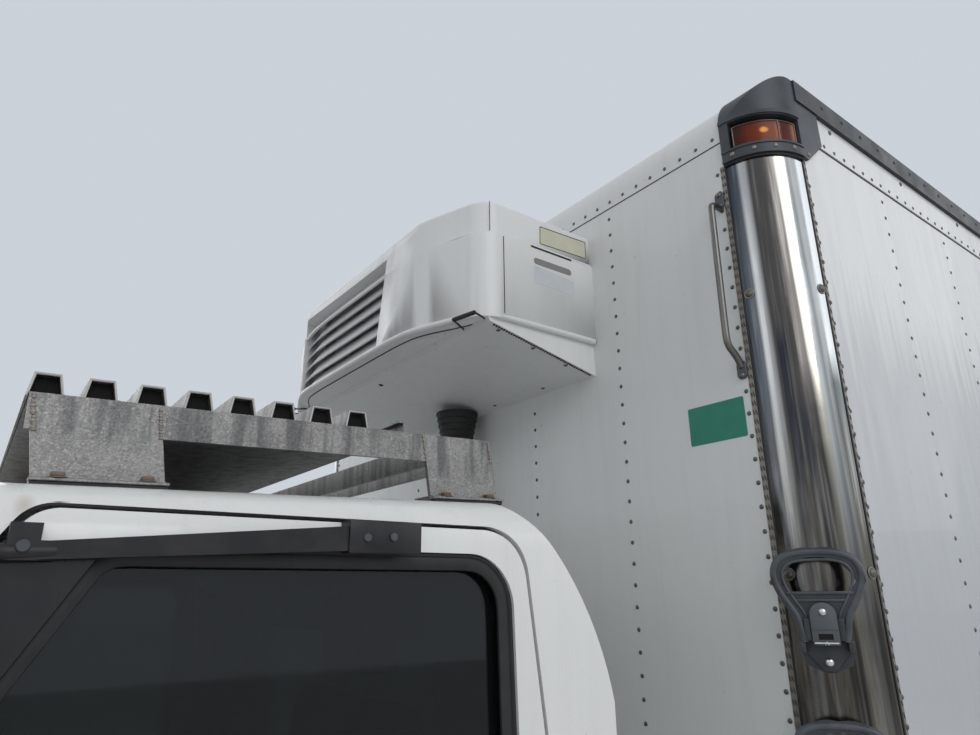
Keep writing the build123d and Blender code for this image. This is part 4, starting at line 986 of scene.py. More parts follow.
class TRUCK_OT_box_trim(bpy.types.Operator):
    """Cover sheet over the front edge, side bands, sealant lines, post trims and the blank plate"""

    bl_idname = "truck.box_trim"
    bl_label = "Box trim"

    def execute(self, context):
        arc = [(math.cos(math.radians(a)), math.sin(math.radians(a))) for a in range(0, 91, 6)]
        cx, cz, r = FRONT - 0.122, TOP - 0.122, 0.122
        outer = [(cx + (r + 0.002) * c, cz + (r + 0.002) * s) for c, s in arc]
        inner = [(cx + (r - 0.001) * c, cz + (r - 0.001) * s) for c, s in arc]
        sheet = [
            (FRONT + 0.002, SEAM_Z), *outer, (cx - 0.03, TOP + 0.002), (cx - 0.03, TOP - 0.001), *reversed(inner),
            (FRONT - 0.001, SEAM_Z)]
        piece("front_edge_sheet", [plate_y(-POST_Y, sheet, 2 * POST_Y, 0)], "box_skin")

        bands = [slab((REAR + 0.1, SIDE - 0.001, SEAM_Z + 0.002), (POST_X - 0.099, SIDE + 0.002, TOP - 0.054), 0.0008)]
        bands += [
            slab((REAR + 0.1, SIDE + 0.002, SEAM_Z + 0.002), (POST_X - 0.099, SIDE + 0.0034, SEAM_Z + 0.006), 0.0006)]
        piece("side_bands", bands + other_side(bands), "box_skin")

        seals = [
            slab((REAR + 0.1, SIDE - 0.001, SEAM_Z - 0.0022), (POST_X - 0.06, SIDE + 0.0014, SEAM_Z + 0.0022), 0.0004)]
        seals.append(slab((FRONT - 0.001, 0, SEAM_Z - 0.0022), (FRONT + 0.0014, POST_Y, SEAM_Z + 0.0022), 0.0004))
        edge_low = WALL_LOW + 0.002
        seals.append(slab((POST_X - 0.0012, SIDE - 0.002, edge_low), (POST_X + 0.0042, SIDE + 0.0016, CAP_LOW), 0.0006))
        seals.append(
            slab((FRONT - 0.002, POST_Y - 0.0012, edge_low), (FRONT + 0.0014, POST_Y + 0.0026, CAP_LOW), 0.0006))
        piece("seam_sealant", seals + other_side(seals), "gasket", slot="black_rubber")

        count = int((CAP_LOW - edge_low) / MARK_PITCH)
        dash_z = edge_low + 0.012
        trims = [slab((POST_X - 0.0105, SIDE - 0.001, edge_low), (POST_X - 0.0014, SIDE + 0.0012, CAP_LOW), 0.0005)]
        trims.append(
            slab((FRONT - 0.001, POST_Y - 0.014, edge_low), (FRONT + 0.0012, POST_Y - 0.0014, CAP_LOW), 0.0005))
        slant = turn_by(16, "Z")
        dash = domed(0.0052, 0.0017, 8, 4)
        dash.data.transform(slant @ Matrix.Diagonal((0.42, 1.35, 1.0, 1.0)))
        side_dash = copied(dash, shift_by((POST_X - 0.006, SIDE + 0.001, dash_z)) @ turn_by(-90, "X"))
        front_turn = turn_by(90, "Z") @ turn_by(90, "X")
        marks = []
        for y in (POST_Y - 0.0108, POST_Y - 0.0048):
            marks.append(copied(dash, shift_by((FRONT + 0.001, y, dash_z)) @ front_turn))
        for mark in [side_dash] + marks:
            arrayed(mark, (0, 0, MARK_PITCH), count)
        drop(dash)
        pieces = [side_dash] + marks
        piece("post_trims", trims + other_side(trims), "trim_steel", slot="polished_steel")
        piece("post_trim_marks", pieces + other_side(pieces), "trim_mark", slot="polished_steel")

        head = domed(0.0095, 0.0062, 12, 8)
        washer = knob(0.0125, 0.0022, 20, 0.0006)
        bolts, washers = [], []
        for z in POST_BOLT_Z:
            for angle in (7.5, 82.5):
                bolts += placed(head, [post_point(angle, z, 0.001)], post_facing(angle))
                washers += placed(washer, [post_point(angle, z, -0.0006)], post_facing(angle))
        drop(head, washer)
        piece("post_bolts", bolts + other_side(bolts), "bolt_steel", slot="polished_steel")
        piece("post_washers", washers + other_side(washers), "trim_steel", slot="polished_steel")

        tag = rounded_box((0.9075, 2.5735), (1.0585, 2.664), 0.004, 3)
        blank = plate_x(FRONT - 0.0005, tag, 0.0013, 0.0004)
        piece("blank_plate", [blank], "label_green", slot="box_skin")
        return {"FINISHED"}


HANDLE_Y, HANDLE_ENDS = 1.066, (3.158, 2.722)
CASTING_SCREW_ANGLES = (11.5, 33, 54, 75)


class TRUCK_OT_corner_casting(bpy.types.Operator):
    """Screws, rim and lamp parts of the corner castings, and the handle's feet"""

    bl_idname = "truck.corner_casting"
    bl_label = "Corner castings"

    def execute(self, context):
        screw = domed(0.006, 0.0038, 12, 8)
        heads = []
        for angle in CASTING_SCREW_ANGLES:
            heads += placed(screw, [post_point(angle, CAP_LOW + 0.0155, 0.0076)], post_facing(angle))
        heads += placed(screw, [(POST_X - 0.022, SIDE + 0.0076, CAP_LOW + 0.0155)], LEFT)
        drop(screw)
        piece("casting_screws", heads + other_side(heads), "trim_steel", slot="dark_casting")

        rims = []
        for low, high, out in ((CAP_LOW - 0.001, CAP_LOW + 0.0045, 0.0105), (CAP_LOW + 0.026, CAP_LOW + 0.031, 0.01)):
            profile = [(POST_R + 0.005, low), (POST_R + out, low), (POST_R + out, high), (POST_R + 0.005, high)]
            rims.append(round_post(profile))
        brow = [
            (POST_R + 0.005, CAP_LOW + 0.11), (POST_R + 0.0108, CAP_LOW + 0.11), (POST_R + 0.008, CAP_LOW + 0.122),
            (POST_R + 0.005, CAP_LOW + 0.122)]
        rims.append(round_post(brow))
        piece("casting_rims", rims + other_side(rims), "dark_casting")

        gap = [
            (POST_R - 0.004, CAP_LOW - 0.007), (POST_R + 0.0052, CAP_LOW - 0.007), (POST_R + 0.0052, CAP_LOW - 0.0005),
            (POST_R - 0.004, CAP_LOW - 0.0005)]
        shades = [round_post(gap)]
        piece("casting_gasket", shades + other_side(shades), "gasket", slot="black_rubber")

        frames = []
        low, high = CAP_LOW + 0.0375, CAP_LOW + 0.0935
        for z in (low, high):
            frames.append(wire([post_point(a, z, -0.0008) for a in range(13, 86, 3)], 0.0022))
        for a in (13, 62, 85):
            frames.append(wire([post_point(a, low, -0.0008), post_point(a, high, -0.0008)], 0.0022))
        piece("corner_lens_ribs", frames + other_side(frames), "amber_rib", slot="lamp_plastic")

        feet = []
        y_foot, high, low = HANDLE_Y, *HANDLE_ENDS
        rod = [
            (0.002, high - 0.022), (0.038, high - 0.022), (0.042, high - 0.036), (0.043, high - 0.07),
            (0.048, low + 0.09), (0.047, low + 0.052), (0.026, low + 0.036), (0.014, low + 0.026), (0.002, low + 0.008)]
        rod = wire([(FRONT + out, y_foot, z) for out, z in rod], 0.008, smooth=True, sides=4)
        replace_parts(piece("handle_rod", [rod], "handle_steel"), "grab_handle")
        for z, tall in ((high, 0.023), (low, 0.021)):
            feet.append(
                plate(
                    [
                        (FRONT + 0.0005, y_foot + a, z + b)
                        for a, b in rounded_box((-0.012, -tall), (0.012, tall), 0.009, 4)],
                    (0.005, 0, 0), 0.0012))
        piece("handle_feet", feet, "step_casting", slot="handle_steel")
        head = domed(0.0066, 0.005, 10)
        bolts = []
        for z, tall in ((high, 0.015), (low, 0.013)):
            bolts += placed(head, [(FRONT + 0.005, y_foot, z + tall), (FRONT + 0.005, y_foot, z - tall)], AHEAD)
        drop(head)
        piece("handle_bolts", bolts, "handle_steel")
        return {"FINISHED"}


STEP_Z = 2.178
STEP_PITCH = 0.3048
STEP_TURN = 30.0
STEP_NAMES = ("upper", "high", "middle", "lower")


def step_place(level):
    """The matrix of a folding step's own frame: x out from the post, z up."""
    a = math.radians(STEP_TURN)
    reach = POST_R + 0.026
    place = Vector((POST_X + reach * math.cos(a), POST_Y + reach * math.sin(a), STEP_Z - STEP_PITCH * level))
    return shift_by(place) @ Matrix.Rotation(a, 4, "Z")


class TRUCK_OT_corner_steps(bpy.types.Operator):
    """Rolled rims, cross bars, hinges and springs of the folding corner steps"""

    bl_idname = "truck.corner_steps"
    bl_label = "Corner steps"

    def execute(self, context):
        half = [
            (0.0345, -0.02), (0.04, 0.022), (0.06, 0.052), (0.0745, 0.082), (0.0775, 0.108), (0.065, 0.132),
            (0.036, 0.1415), (0.0, 0.143)]
        outline = half + [(-y, z) for y, z in reversed(half[:-1])]
        ring = wire([(0, y, z) for y, z in outline], 0.0079, smooth=True, sides=4)
        ring.data.transform(Matrix.Diagonal((1.35, 1, 1, 1)))
        face_out(ring)
        bead = [
            (0.0215, -0.01), (0.026, 0.024), (0.046, 0.056), (0.06, 0.084), (0.0625, 0.105), (0.052, 0.121),
            (0.03, 0.1275), (0.0, 0.1285)]
        bead_line = bead + [(-y, z) for y, z in reversed(bead[:-1])]
        lip = wire([(0.0075, y, z) for y, z in bead_line], 0.0026, smooth=True, sides=2)
        bars = [
            slab((-0.009, -0.058, 0.0645), (0.0105, 0.058, 0.07), 0.0015, 2),
            slab((0.004, -0.046, 0.0515), (0.0095, 0.046, 0.056), 0.0012, 2)]
        ears = [
            slab((-0.004, s * 0.029 - 0.006, -0.018), (0.0125, s * 0.029 + 0.006, 0.022), 0.002, 2) for s in (-1, 1)]
        tongue = rounded_box((-0.0235, -0.026), (0.0235, 0.05), [0.003, 0.003, 0.0225, 0.0225], 8)
        block = plate_x(0.0105, tongue, 0.0065, 0.0016, 2)
        crease = slab((0.016, -0.0235, 0.001), (0.0182, 0.0235, 0.0045), 0.0008)
        bolt = seated(domed(0.0075, 0.0058, 12, 8), (0.0168, 0, 0.033), AHEAD)
        # a near-black slab paints the shade in the notch under the hinge block
        notch = slab((0.015, -0.0125, -0.0158), (0.01704, 0.0125, -0.0055), 0)
        pin = wire([(0.0195, -0.0205, -0.0215), (0.0195, 0.0205, -0.0215)], 0.0019)
        spring = wire([(0.019, -0.003, -0.0245), (0.0195, 0.0, -0.019), (0.019, 0.003, -0.0245)], 0.0014)

        plate_points = rounded(
            [(-0.047, -0.028), (-0.01, -0.073), (0.01, -0.073), (0.047, -0.028), (0.047, -0.018), (-0.047, -0.018)],
            [0.004, 0.01, 0.01, 0.004, 0.002, 0.002], 5)
        bracket = plate_x(-0.0165, plate_points, 0.006, 0.0018, 2)
        tabs = [
            slab((-0.0105, s * 0.0415 - 0.0055, -0.04), (0.006, s * 0.0415 + 0.0055, -0.018), 0.0022, 2)
            for s in (-1, 1)]
        tip = seated(domed(0.0085, 0.0062, 12, 8), (-0.0105, 0, -0.0565), AHEAD)

        moving = (
            ("rim", [ring, lip] + bars, "step_casting"), ("hinge", ears, "dark_casting"),
            ("tongue", [block, crease], "step_tongue"), ("notch", [notch], "dark_void"),
            ("bolt", [bolt], "bright_steel"))
        fixed = (
            ("bracket", [bracket] + tabs, "dark_casting"), ("tip_bolt", [tip], "bright_steel"),
            ("spring", [pin, spring], "bright_steel"))
        for level, name in enumerate(STEP_NAMES):
            frame_here = step_place(level)
            for body, groups in ((f"step_{name}", moving), ("root", fixed)):
                for part, shapes, finish in groups:
                    shapes = [copied(shape, frame_here) for shape in shapes]
                    piece(f"step_{name}_{part}", shapes, finish, body, "dark_casting")
        for _, shapes, _ in moving + fixed:
            drop(*shapes)
        return {"FINISHED"}


# Cooling unit on the nose of the box

UNIT_SIDE = 0.622
UNIT_TOP, UNIT_WAIST, UNIT_LOW = TOP - 0.204, TOP - 0.304, TOP - 0.546
UNIT_REACH, UNIT_SIDE_REACH = 0.487, 0.391


def pan_z(x):
    """Height of the sloped drip pan under the unit."""
    return 2.827 + 0.081 / 0.368 * (x - FRONT)


def unit_rim(out, z):
    """Points round the unit at a height: left wall, left corner, front, right corner, right wall."""
    lean = 0.03 * (z - UNIT_LOW) / (UNIT_TOP - UNIT_LOW)
    side_x, front_x = FRONT + UNIT_SIDE_REACH, FRONT + UNIT_REACH - lean
    corner = [
        (side_x - 0.052, UNIT_SIDE), (side_x - 0.02, UNIT_SIDE - 0.011), (side_x + 0.012, UNIT_SIDE - 0.041),
        (side_x + 0.034, UNIT_SIDE - 0.096)]
    flat = [(front_x - 0.01, 0.385), (front_x - 0.002, 0.3), (front_x, 0.2)]
    left = [(FRONT + 0.006, UNIT_SIDE), *corner, *flat]
    points = left + [(x, -y) for x, y in reversed(left)]
    return [
        (x + (out if abs(y) < 0.6 else 0.0), y + (out * (1 if y > 0 else -1) if abs(y) > 0.5 else 0.0), z)
        for x, y in points]


LOUVRE_PITCH, LOUVRE_COUNT = 0.0472, 6


def nose_x(y, z):
    """How far forward the unit's front wall stands."""
    points = [(abs(b), a) for a, b, _ in unit_rim(0.0, z)[:9]]
    for (y0, x0), (y1, x1) in zip(points[1:], points[2:]):
        if y1 <= abs(y) <= y0:
            return x0 + (x1 - x0) * (y0 - abs(y)) / max(y0 - y1, 1e-6)
    return points[-1][1]


def louvre_blade(low):
    """A broad blade across the air inlet: its lower edge forward, cut lower at the far end."""
    blade = start("grid", x_subdivisions=16, y_subdivisions=3, size=2.0)
    for vertex in blade.data.vertices:
        y, part = -0.1105 + 0.319 * vertex.co.x, (vertex.co.y + 1) / 2
        height = part * 0.05 * (1 - 0.45 * min(1.0, max(0.0, (-0.33 - y) / 0.095)))
        vertex.co = (nose_x(y, low + height) - 0.0135 - 0.026 * part ** 0.8, y, low + height - 0.004 * (part < 0.1))
    depth = blade.modifiers.new("depth", "SOLIDIFY")
    depth.thickness = 0.0045
    depth.offset = 0
    return face_out(apply_all(blade))


class TRUCK_OT_cooling_unit(bpy.types.Operator):
    """Seams, rolled lip, plates, pan seal, coil and louvre ribs of the cooling unit"""

    bl_idname = "truck.cooling_unit"
    bl_label = "Cooling unit"

    def execute(self, context):
        lip = wire(unit_rim(-0.0045, UNIT_LOW + 0.006), 0.0085, smooth=True, sides=3)
        waist = wire(unit_rim(-0.0036, UNIT_WAIST - 0.0006), 0.0052, smooth=True, sides=3)
        piece("unit_lip", [lip, waist], "unit_paint")
        shell = start("plane", size=1.0)
        shell.data = NODES["cooling_unit_shell"].data.copy()
        shell = piece("unit_casing", [face_out(shell)], "unit_paint")
        weigh = shell.modifiers.new("flat_faces", "WEIGHTED_NORMAL")
        weigh.keep_sharp = True
        apply_all(shell)
        clear_selection()
        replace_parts(shell, "cooling_unit_shell")

        seams = []
        for s in (1, -1):
            y = s * (UNIT_SIDE - 0.009)
            seams.append(
                slab(
                    (1.8675, min(y, y + s * 0.0009), UNIT_WAIST + 0.002),
                    (1.8695, max(y, y + s * 0.0009), UNIT_TOP - 0.008), 0))
            y = s * UNIT_SIDE
            seams.append(
                slab(
                    (1.8285, min(y, y + s * 0.0009), UNIT_LOW + 0.014),
                    (1.8307, max(y, y + s * 0.0009), UNIT_WAIST - 0.006), 0))
            seams.append(
                slab(
                    (1.5835, min(y, y + s * 0.0012), UNIT_WAIST - 0.0075),
                    (1.734, max(y, y + s * 0.0012), UNIT_WAIST - 0.002), 0.0004))
        piece("unit_seams", seams, "gasket", slot="black_rubber")

        # the handle recess is drawn as a flat darker plate, barely proud: painted shade of the recess
        pill = rounded_box((1.5855, 3.1065), (1.725, 3.126), 0.0095, 5)
        recess_shade_plates = [plate_y(UNIT_SIDE - 0.001, pill, 0.0014, 0.0002)]
        piece("unit_handle_recess_shade", recess_shade_plates + other_side(recess_shade_plates), "cup_shade", slot="unit_paint")

        plates = {"label_yellow": [(1.5135, 3.1855), (1.6945, 3.1795), (1.693, 3.2375), (1.5125, 3.2435)],
                  "label_pale": [(1.5785, 3.0475), (1.726, 3.05), (1.7245, 3.102), (1.5765, 3.092)]}
        for finish, corners in plates.items():
            y = UNIT_SIDE - (0.009 if finish == "label_yellow" else 0.0)
            sheet = plate_y(y - 0.0004, rounded(corners, 0.003, 3), 0.001, 0.0003)
            piece(f"unit_{finish}", [sheet], finish, slot="unit_paint")
        border = rounded([(1.5155, 3.1875), (1.6925, 3.1815), (1.691, 3.2355), (1.5145, 3.2415)], 0.002, 2)
        piece(
            "unit_plate_border", [wire([(x, UNIT_SIDE - 0.0084, z) for x, z in border], 0.0011, closed=True, sides=1)],
            "gasket", slot="unit_paint")

        seal, bolts = [], []
        head = domed(0.0062, 0.004, 8)
        tooth = slab((-0.0022, -0.0035, -0.0016), (0.0022, 0.0035, 0.0016), 0.0006)
        for s in (1, -1):
            y = s * (UNIT_SIDE - 0.013)
            for k in range(42):
                x = FRONT + 0.015 + 0.335 * k / 41
                seal.append(copied(tooth, shift_by((x, y - s * 0.006, pan_z(x) - 0.0012))))
            for x in (1.5925, 1.71, 1.8262):
                bolts += placed(head, [(x, s * 0.589, pan_z(x) - 0.0004)], (-0.2, 0, -1))
        bolts += placed(head, [(1.53, y, pan_z(1.53) - 0.0004) for y in (-0.4, -0.15, 0.18, 0.42)], (-0.2, 0, -1))
        drop(head, tooth)
        seal.append(wire([p for p in unit_rim(-0.033, UNIT_LOW - 0.0012) if p[0] > 1.83], 0.0016, smooth=True, sides=1))
        piece("pan_seal", seal, "gasket", slot="black_rubber")
        piece("pan_bolts", bolts, "bolt_steel", slot="unit_paint")

        door = [(1.9331, 0.5393), (1.9174, 0.612), (1.8459, 0.5843), (1.8444, 0.4808)]
        flap = []
        for s in (1, -1):
            flap.append(wire([(x, s * y, UNIT_LOW - 0.002) for x, y in door], 0.003, closed=True, sides=2))
            flap.append(wire([(x, s * y, UNIT_LOW - 0.002) for x, y in door[:2]], 0.006, sides=2))
        piece("pan_flap_seal", flap, "gasket", slot="black_rubber")
        # a near-black disc paints the shade in the drain hole
        hole = seated(knob(0.0075, 0.0012, 16, 0.0003), (1.838, -0.029, pan_z(1.838) - 0.0002), (0.2, 0, -1))
        piece("pan_drain", [hole], "dark_void", slot="black_rubber")

        coil = [slab((1.6215, -0.428, UNIT_LOW + 0.018), (1.64, 0.209, UNIT_TOP - 0.048), 0.002)]
        fin = slab((1.64, -0.426, UNIT_LOW + 0.02), (1.647, -0.4252, UNIT_TOP - 0.05), 0)
        fins = row(fin, ORIGIN, (0, 0.0055, 0), 115)
        drop(fin)
        coil += [wire([(1.65, y, UNIT_LOW + 0.06 + 0.05 * k) for y in (-0.42, 0.2)], 0.005) for k in range(5)]
        piece("unit_coil", coil + [fins], "coil_dark", slot="unit_grille")
        ribs = [
            slab((1.875, y - 0.003, UNIT_LOW + 0.016), (1.915, y + 0.003, UNIT_TOP - 0.052), 0.001)
            for y in (-0.33, -0.11, 0.11)]
        piece("unit_louvre_ribs", ribs, "unit_grille")
        blades = [louvre_blade(UNIT_LOW + 0.0155 + LOUVRE_PITCH * k) for k in range(LOUVRE_COUNT)]
        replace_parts(piece("unit_louvres", blades, "unit_grille"), "cooling_unit_grille")

        pleats = []
        for k in range(6):
            z = 2.823 - 0.02 * k
            r = 0.0685 - 0.0038 * k
            pleats.append(
                turned(
                    [(r - 0.004, z - 0.004), (r + 0.003, z), (r - 0.004, z + 0.004)], (1.578, 0.031, 0), UP, AHEAD, 32))
        clamp = turned(
            [(0.0375, 2.69), (0.0405, 2.69), (0.0405, 2.702), (0.0375, 2.702)], (1.578, 0.031, 0), UP, AHEAD, 32)
        piece("boot_pleats", pleats, "black_rubber")
        piece("boot_clamp", [clamp], "bolt_steel", slot="black_rubber")
        return {"FINISHED"}


# Service platform on the cab roof

PLATFORM = shift_by((FRONT + 0.598, 0.906, 2.405)) @ turn_by(1.83, "Y")
PLATFORM_LONG, PLATFORM_WIDE, PLATFORM_HIGH = 0.703, 1.828, 0.109
RIDGE_COUNT, RIDGE_PITCH, FIRST_RIDGE = 8, 0.061, 0.017


def weld(points, size, rng):
    """A rough bead: overlapping lumps along a line."""
    lumps = []
    for a, b in zip(points, points[1:]):
        a, b = Vector(a), Vector(b)
        count = max(2, int((b - a).length / (size * 0.75)))
        for k in range(count):
            r = size * rng.uniform(0.75, 1.25)
            lump = start(
                "ico_sphere", subdivisions=2, radius=r,
                location=a.lerp(b, k / (count - 1)) + Vector([rng.uniform(-1, 1) * size * 0.25 for _ in range(3)]))
            lump.scale = (rng.uniform(0.8, 1.2), rng.uniform(0.6, 0.9), rng.uniform(0.55, 0.8))
            lumps.append(settle(lump))
    return lumps


def platform_piece(name, shapes, finish, slot="mill_aluminium", doubled=True):
    """A piece drawn in the platform's own frame; a doubled one also lies along its far side."""
    near = joined(name, shapes)
    if doubled:
        far = copied(near, shift_by((0, -PLATFORM_WIDE + 0.001, 0)) @ ACROSS)
        near = joined(name, [near, far])
    near.data.transform(PLATFORM)
    return finish_piece(near, finish, slot=slot)


class TRUCK_OT_roof_platform(bpy.types.Operator):
    """Weld beads, rusty bolts, base flanges and ridge ends of the roof platform"""

    bl_idname = "truck.roof_platform"
    bl_label = "Roof platform"

    def execute(self, context):
        rng = random.Random(7)
        long, high, wide = PLATFORM_LONG, PLATFORM_HIGH, PLATFORM_WIDE
        y = 0.0085
        beads = weld([(long - 0.004, y, high - 0.002), (long - 0.01, y, high - 0.046)], 0.0032, rng)
        beads += weld([(long - 0.15 + 0.001, y, high - 0.004), (long - 0.15 - 0.004, y, high - 0.045)], 0.0025, rng)
        beads += weld([(0.14, y, high - 0.004), (0.134, y, high - 0.045)], 0.0025, rng)
        beads += weld([(0.003, y, high - 0.004), (-0.002, y, high - 0.04)], 0.0025, rng)
        for k in range(RIDGE_COUNT):
            x = long - FIRST_RIDGE - RIDGE_PITCH * k
            beads += weld([(x - 0.02, y - 0.002, high - 0.001), (x + 0.018, y - 0.002, high - 0.001)], 0.0017, rng)
        platform_piece("platform_welds", beads, "weld_metal")

        flanges, pads, heads, washers = [], [], [], []
        head = knob(0.0088, 0.0062, 6, 0.001)
        washer = knob(0.0115, 0.0016, 18, 0.0004)
        for x0, x1 in ((-0.018, 0.128), (long - 0.168, long - 0.012)):
            flanges.append(slab((x0, 0.004, -0.0005), (x1, 0.0225, 0.0038), 0.001))
            pads.append(slab((x0 + 0.002, 0.003, -0.0065), (x1 - 0.002, 0.02, -0.0005), 0.001))
            for x in (x0 + 0.026, x1 - 0.03):
                heads += placed(head, [(x, 0.0135, 0.0052)])
                washers += placed(washer, [(x, 0.0135, 0.0036)])
        drop(head, washer)
        platform_piece("platform_flanges", flanges, "mill_aluminium")
        platform_piece("platform_pads", pads, "gasket", "black_rubber")
        platform_piece("platform_bolts", heads, "rust_bolt")
        platform_piece("platform_washers", washers, "bolt_steel")

        # near-black plates inside the hollow ridge ends paint the shade in them
        hollow_shade_plates, lips = [], []
        for k in range(RIDGE_COUNT):
            x = long - FIRST_RIDGE - RIDGE_PITCH * k
            inside = [
                (x - 0.0172, high - 0.0022), (x - 0.0122, high + 0.0245), (x + 0.0122, high + 0.0245),
                (x + 0.0172, high - 0.0022)]
            hollow_shade_plates.append(plate_y(-0.012, inside, -0.03, 0))
            hollow_shade_plates.append(plate_y(-wide + 0.012, inside, 0.03, 0))
            edge = [
                (x - 0.0195, high - 0.003), (x - 0.014, high + 0.0265), (x + 0.014, high + 0.0265),
                (x + 0.0195, high - 0.003)]
            lips.append(wire([(a, -0.0005, b) for a, b in edge], 0.0014, sides=1))
        platform_piece("ridge_hollow_shade", hollow_shade_plates, "dark_void", "black_rubber", doubled=False)
        platform_piece("ridge_edges", lips, "edge_metal", doubled=False)
        return {"FINISHED"}


# Wheels

TYRE_R, TYRE_HALF, BEAD_R = 0.506, 0.1375, 0.2863
FRONT_AXLE, REAR_AXLE = (3.572, 1.03), (-2.018, 0.914)
DUAL_HALF = 0.1575


def ring_of(seed, count, start=0.0):
    """Copies turned round the Y axis through the origin."""
    return [copied(seed, turn_by(start + 360 * k / count, "Y")) for k in range(count)]


def tyre_shapes():
    """Tyres with ribbed tread, shoulder lugs and moulded sidewall rings, about the origin."""
    crown = [(-TYRE_HALF + 0.0445, 0.0)]
    for middle in (-0.062, -0.021, 0.021, 0.062):
        crown += [(middle - 0.0062, 0.0), (middle - 0.0035, -0.013), (middle + 0.0035, -0.013), (middle + 0.0062, 0.0)]
    crown.append((TYRE_HALF - 0.0445, 0.0))
    side = [
        (-0.0957, BEAD_R), (-0.112, 0.292), (-0.113, 0.306), (-0.1085, 0.312), (-0.1215, 0.342), (-0.124, 0.344),
        (-0.124, 0.349), (-0.123, 0.351), (-0.135, 0.378), (-0.1372, 0.4), (-0.1366, 0.428), (-0.1345, 0.446),
        (-0.1362, 0.449), (-0.1355, 0.458), (-0.129, 0.461), (-0.118, 0.4905)]
    profile = [(r, y) for y, r in side] + [
        (TYRE_R - 0.0005 + dr, y) for y, dr in crown] + [(r, -y) for y, r in reversed(side)]
    ring = turned(profile, ORIGIN, LEFT, UP, 96)
    lug = plate(
        [(-0.0105, -0.1335, 0.46), (-0.0085, -0.0935, 0.503), (0.0085, -0.0935, 0.503), (0.0105, -0.1335, 0.46)],
        (0, -0.001, 0.0022), 0)
    lug.data.transform(shift_by((0, 0.0003, -0.0006)))
    block = slab((-0.0032, -0.093, 0.499), (0.0032, -0.0685, 0.5058), 0)
    groove = [slab((-0.0016, y - 0.014, 0.499), (0.0016, y + 0.014, 0.50585), 0) for y in (-0.0415, 0.0, 0.0415)]
    lugs = ring_of(joined("lug", [lug, copied(lug, ACROSS)]), 56)
    sipes = ring_of(joined("sipe", [block, copied(block, ACROSS)] + groove), 84)
    tread, marks = joined("tread", [ring] + lugs), joined("sipes", sipes)
    drop(lug, block)
    return tread, marks


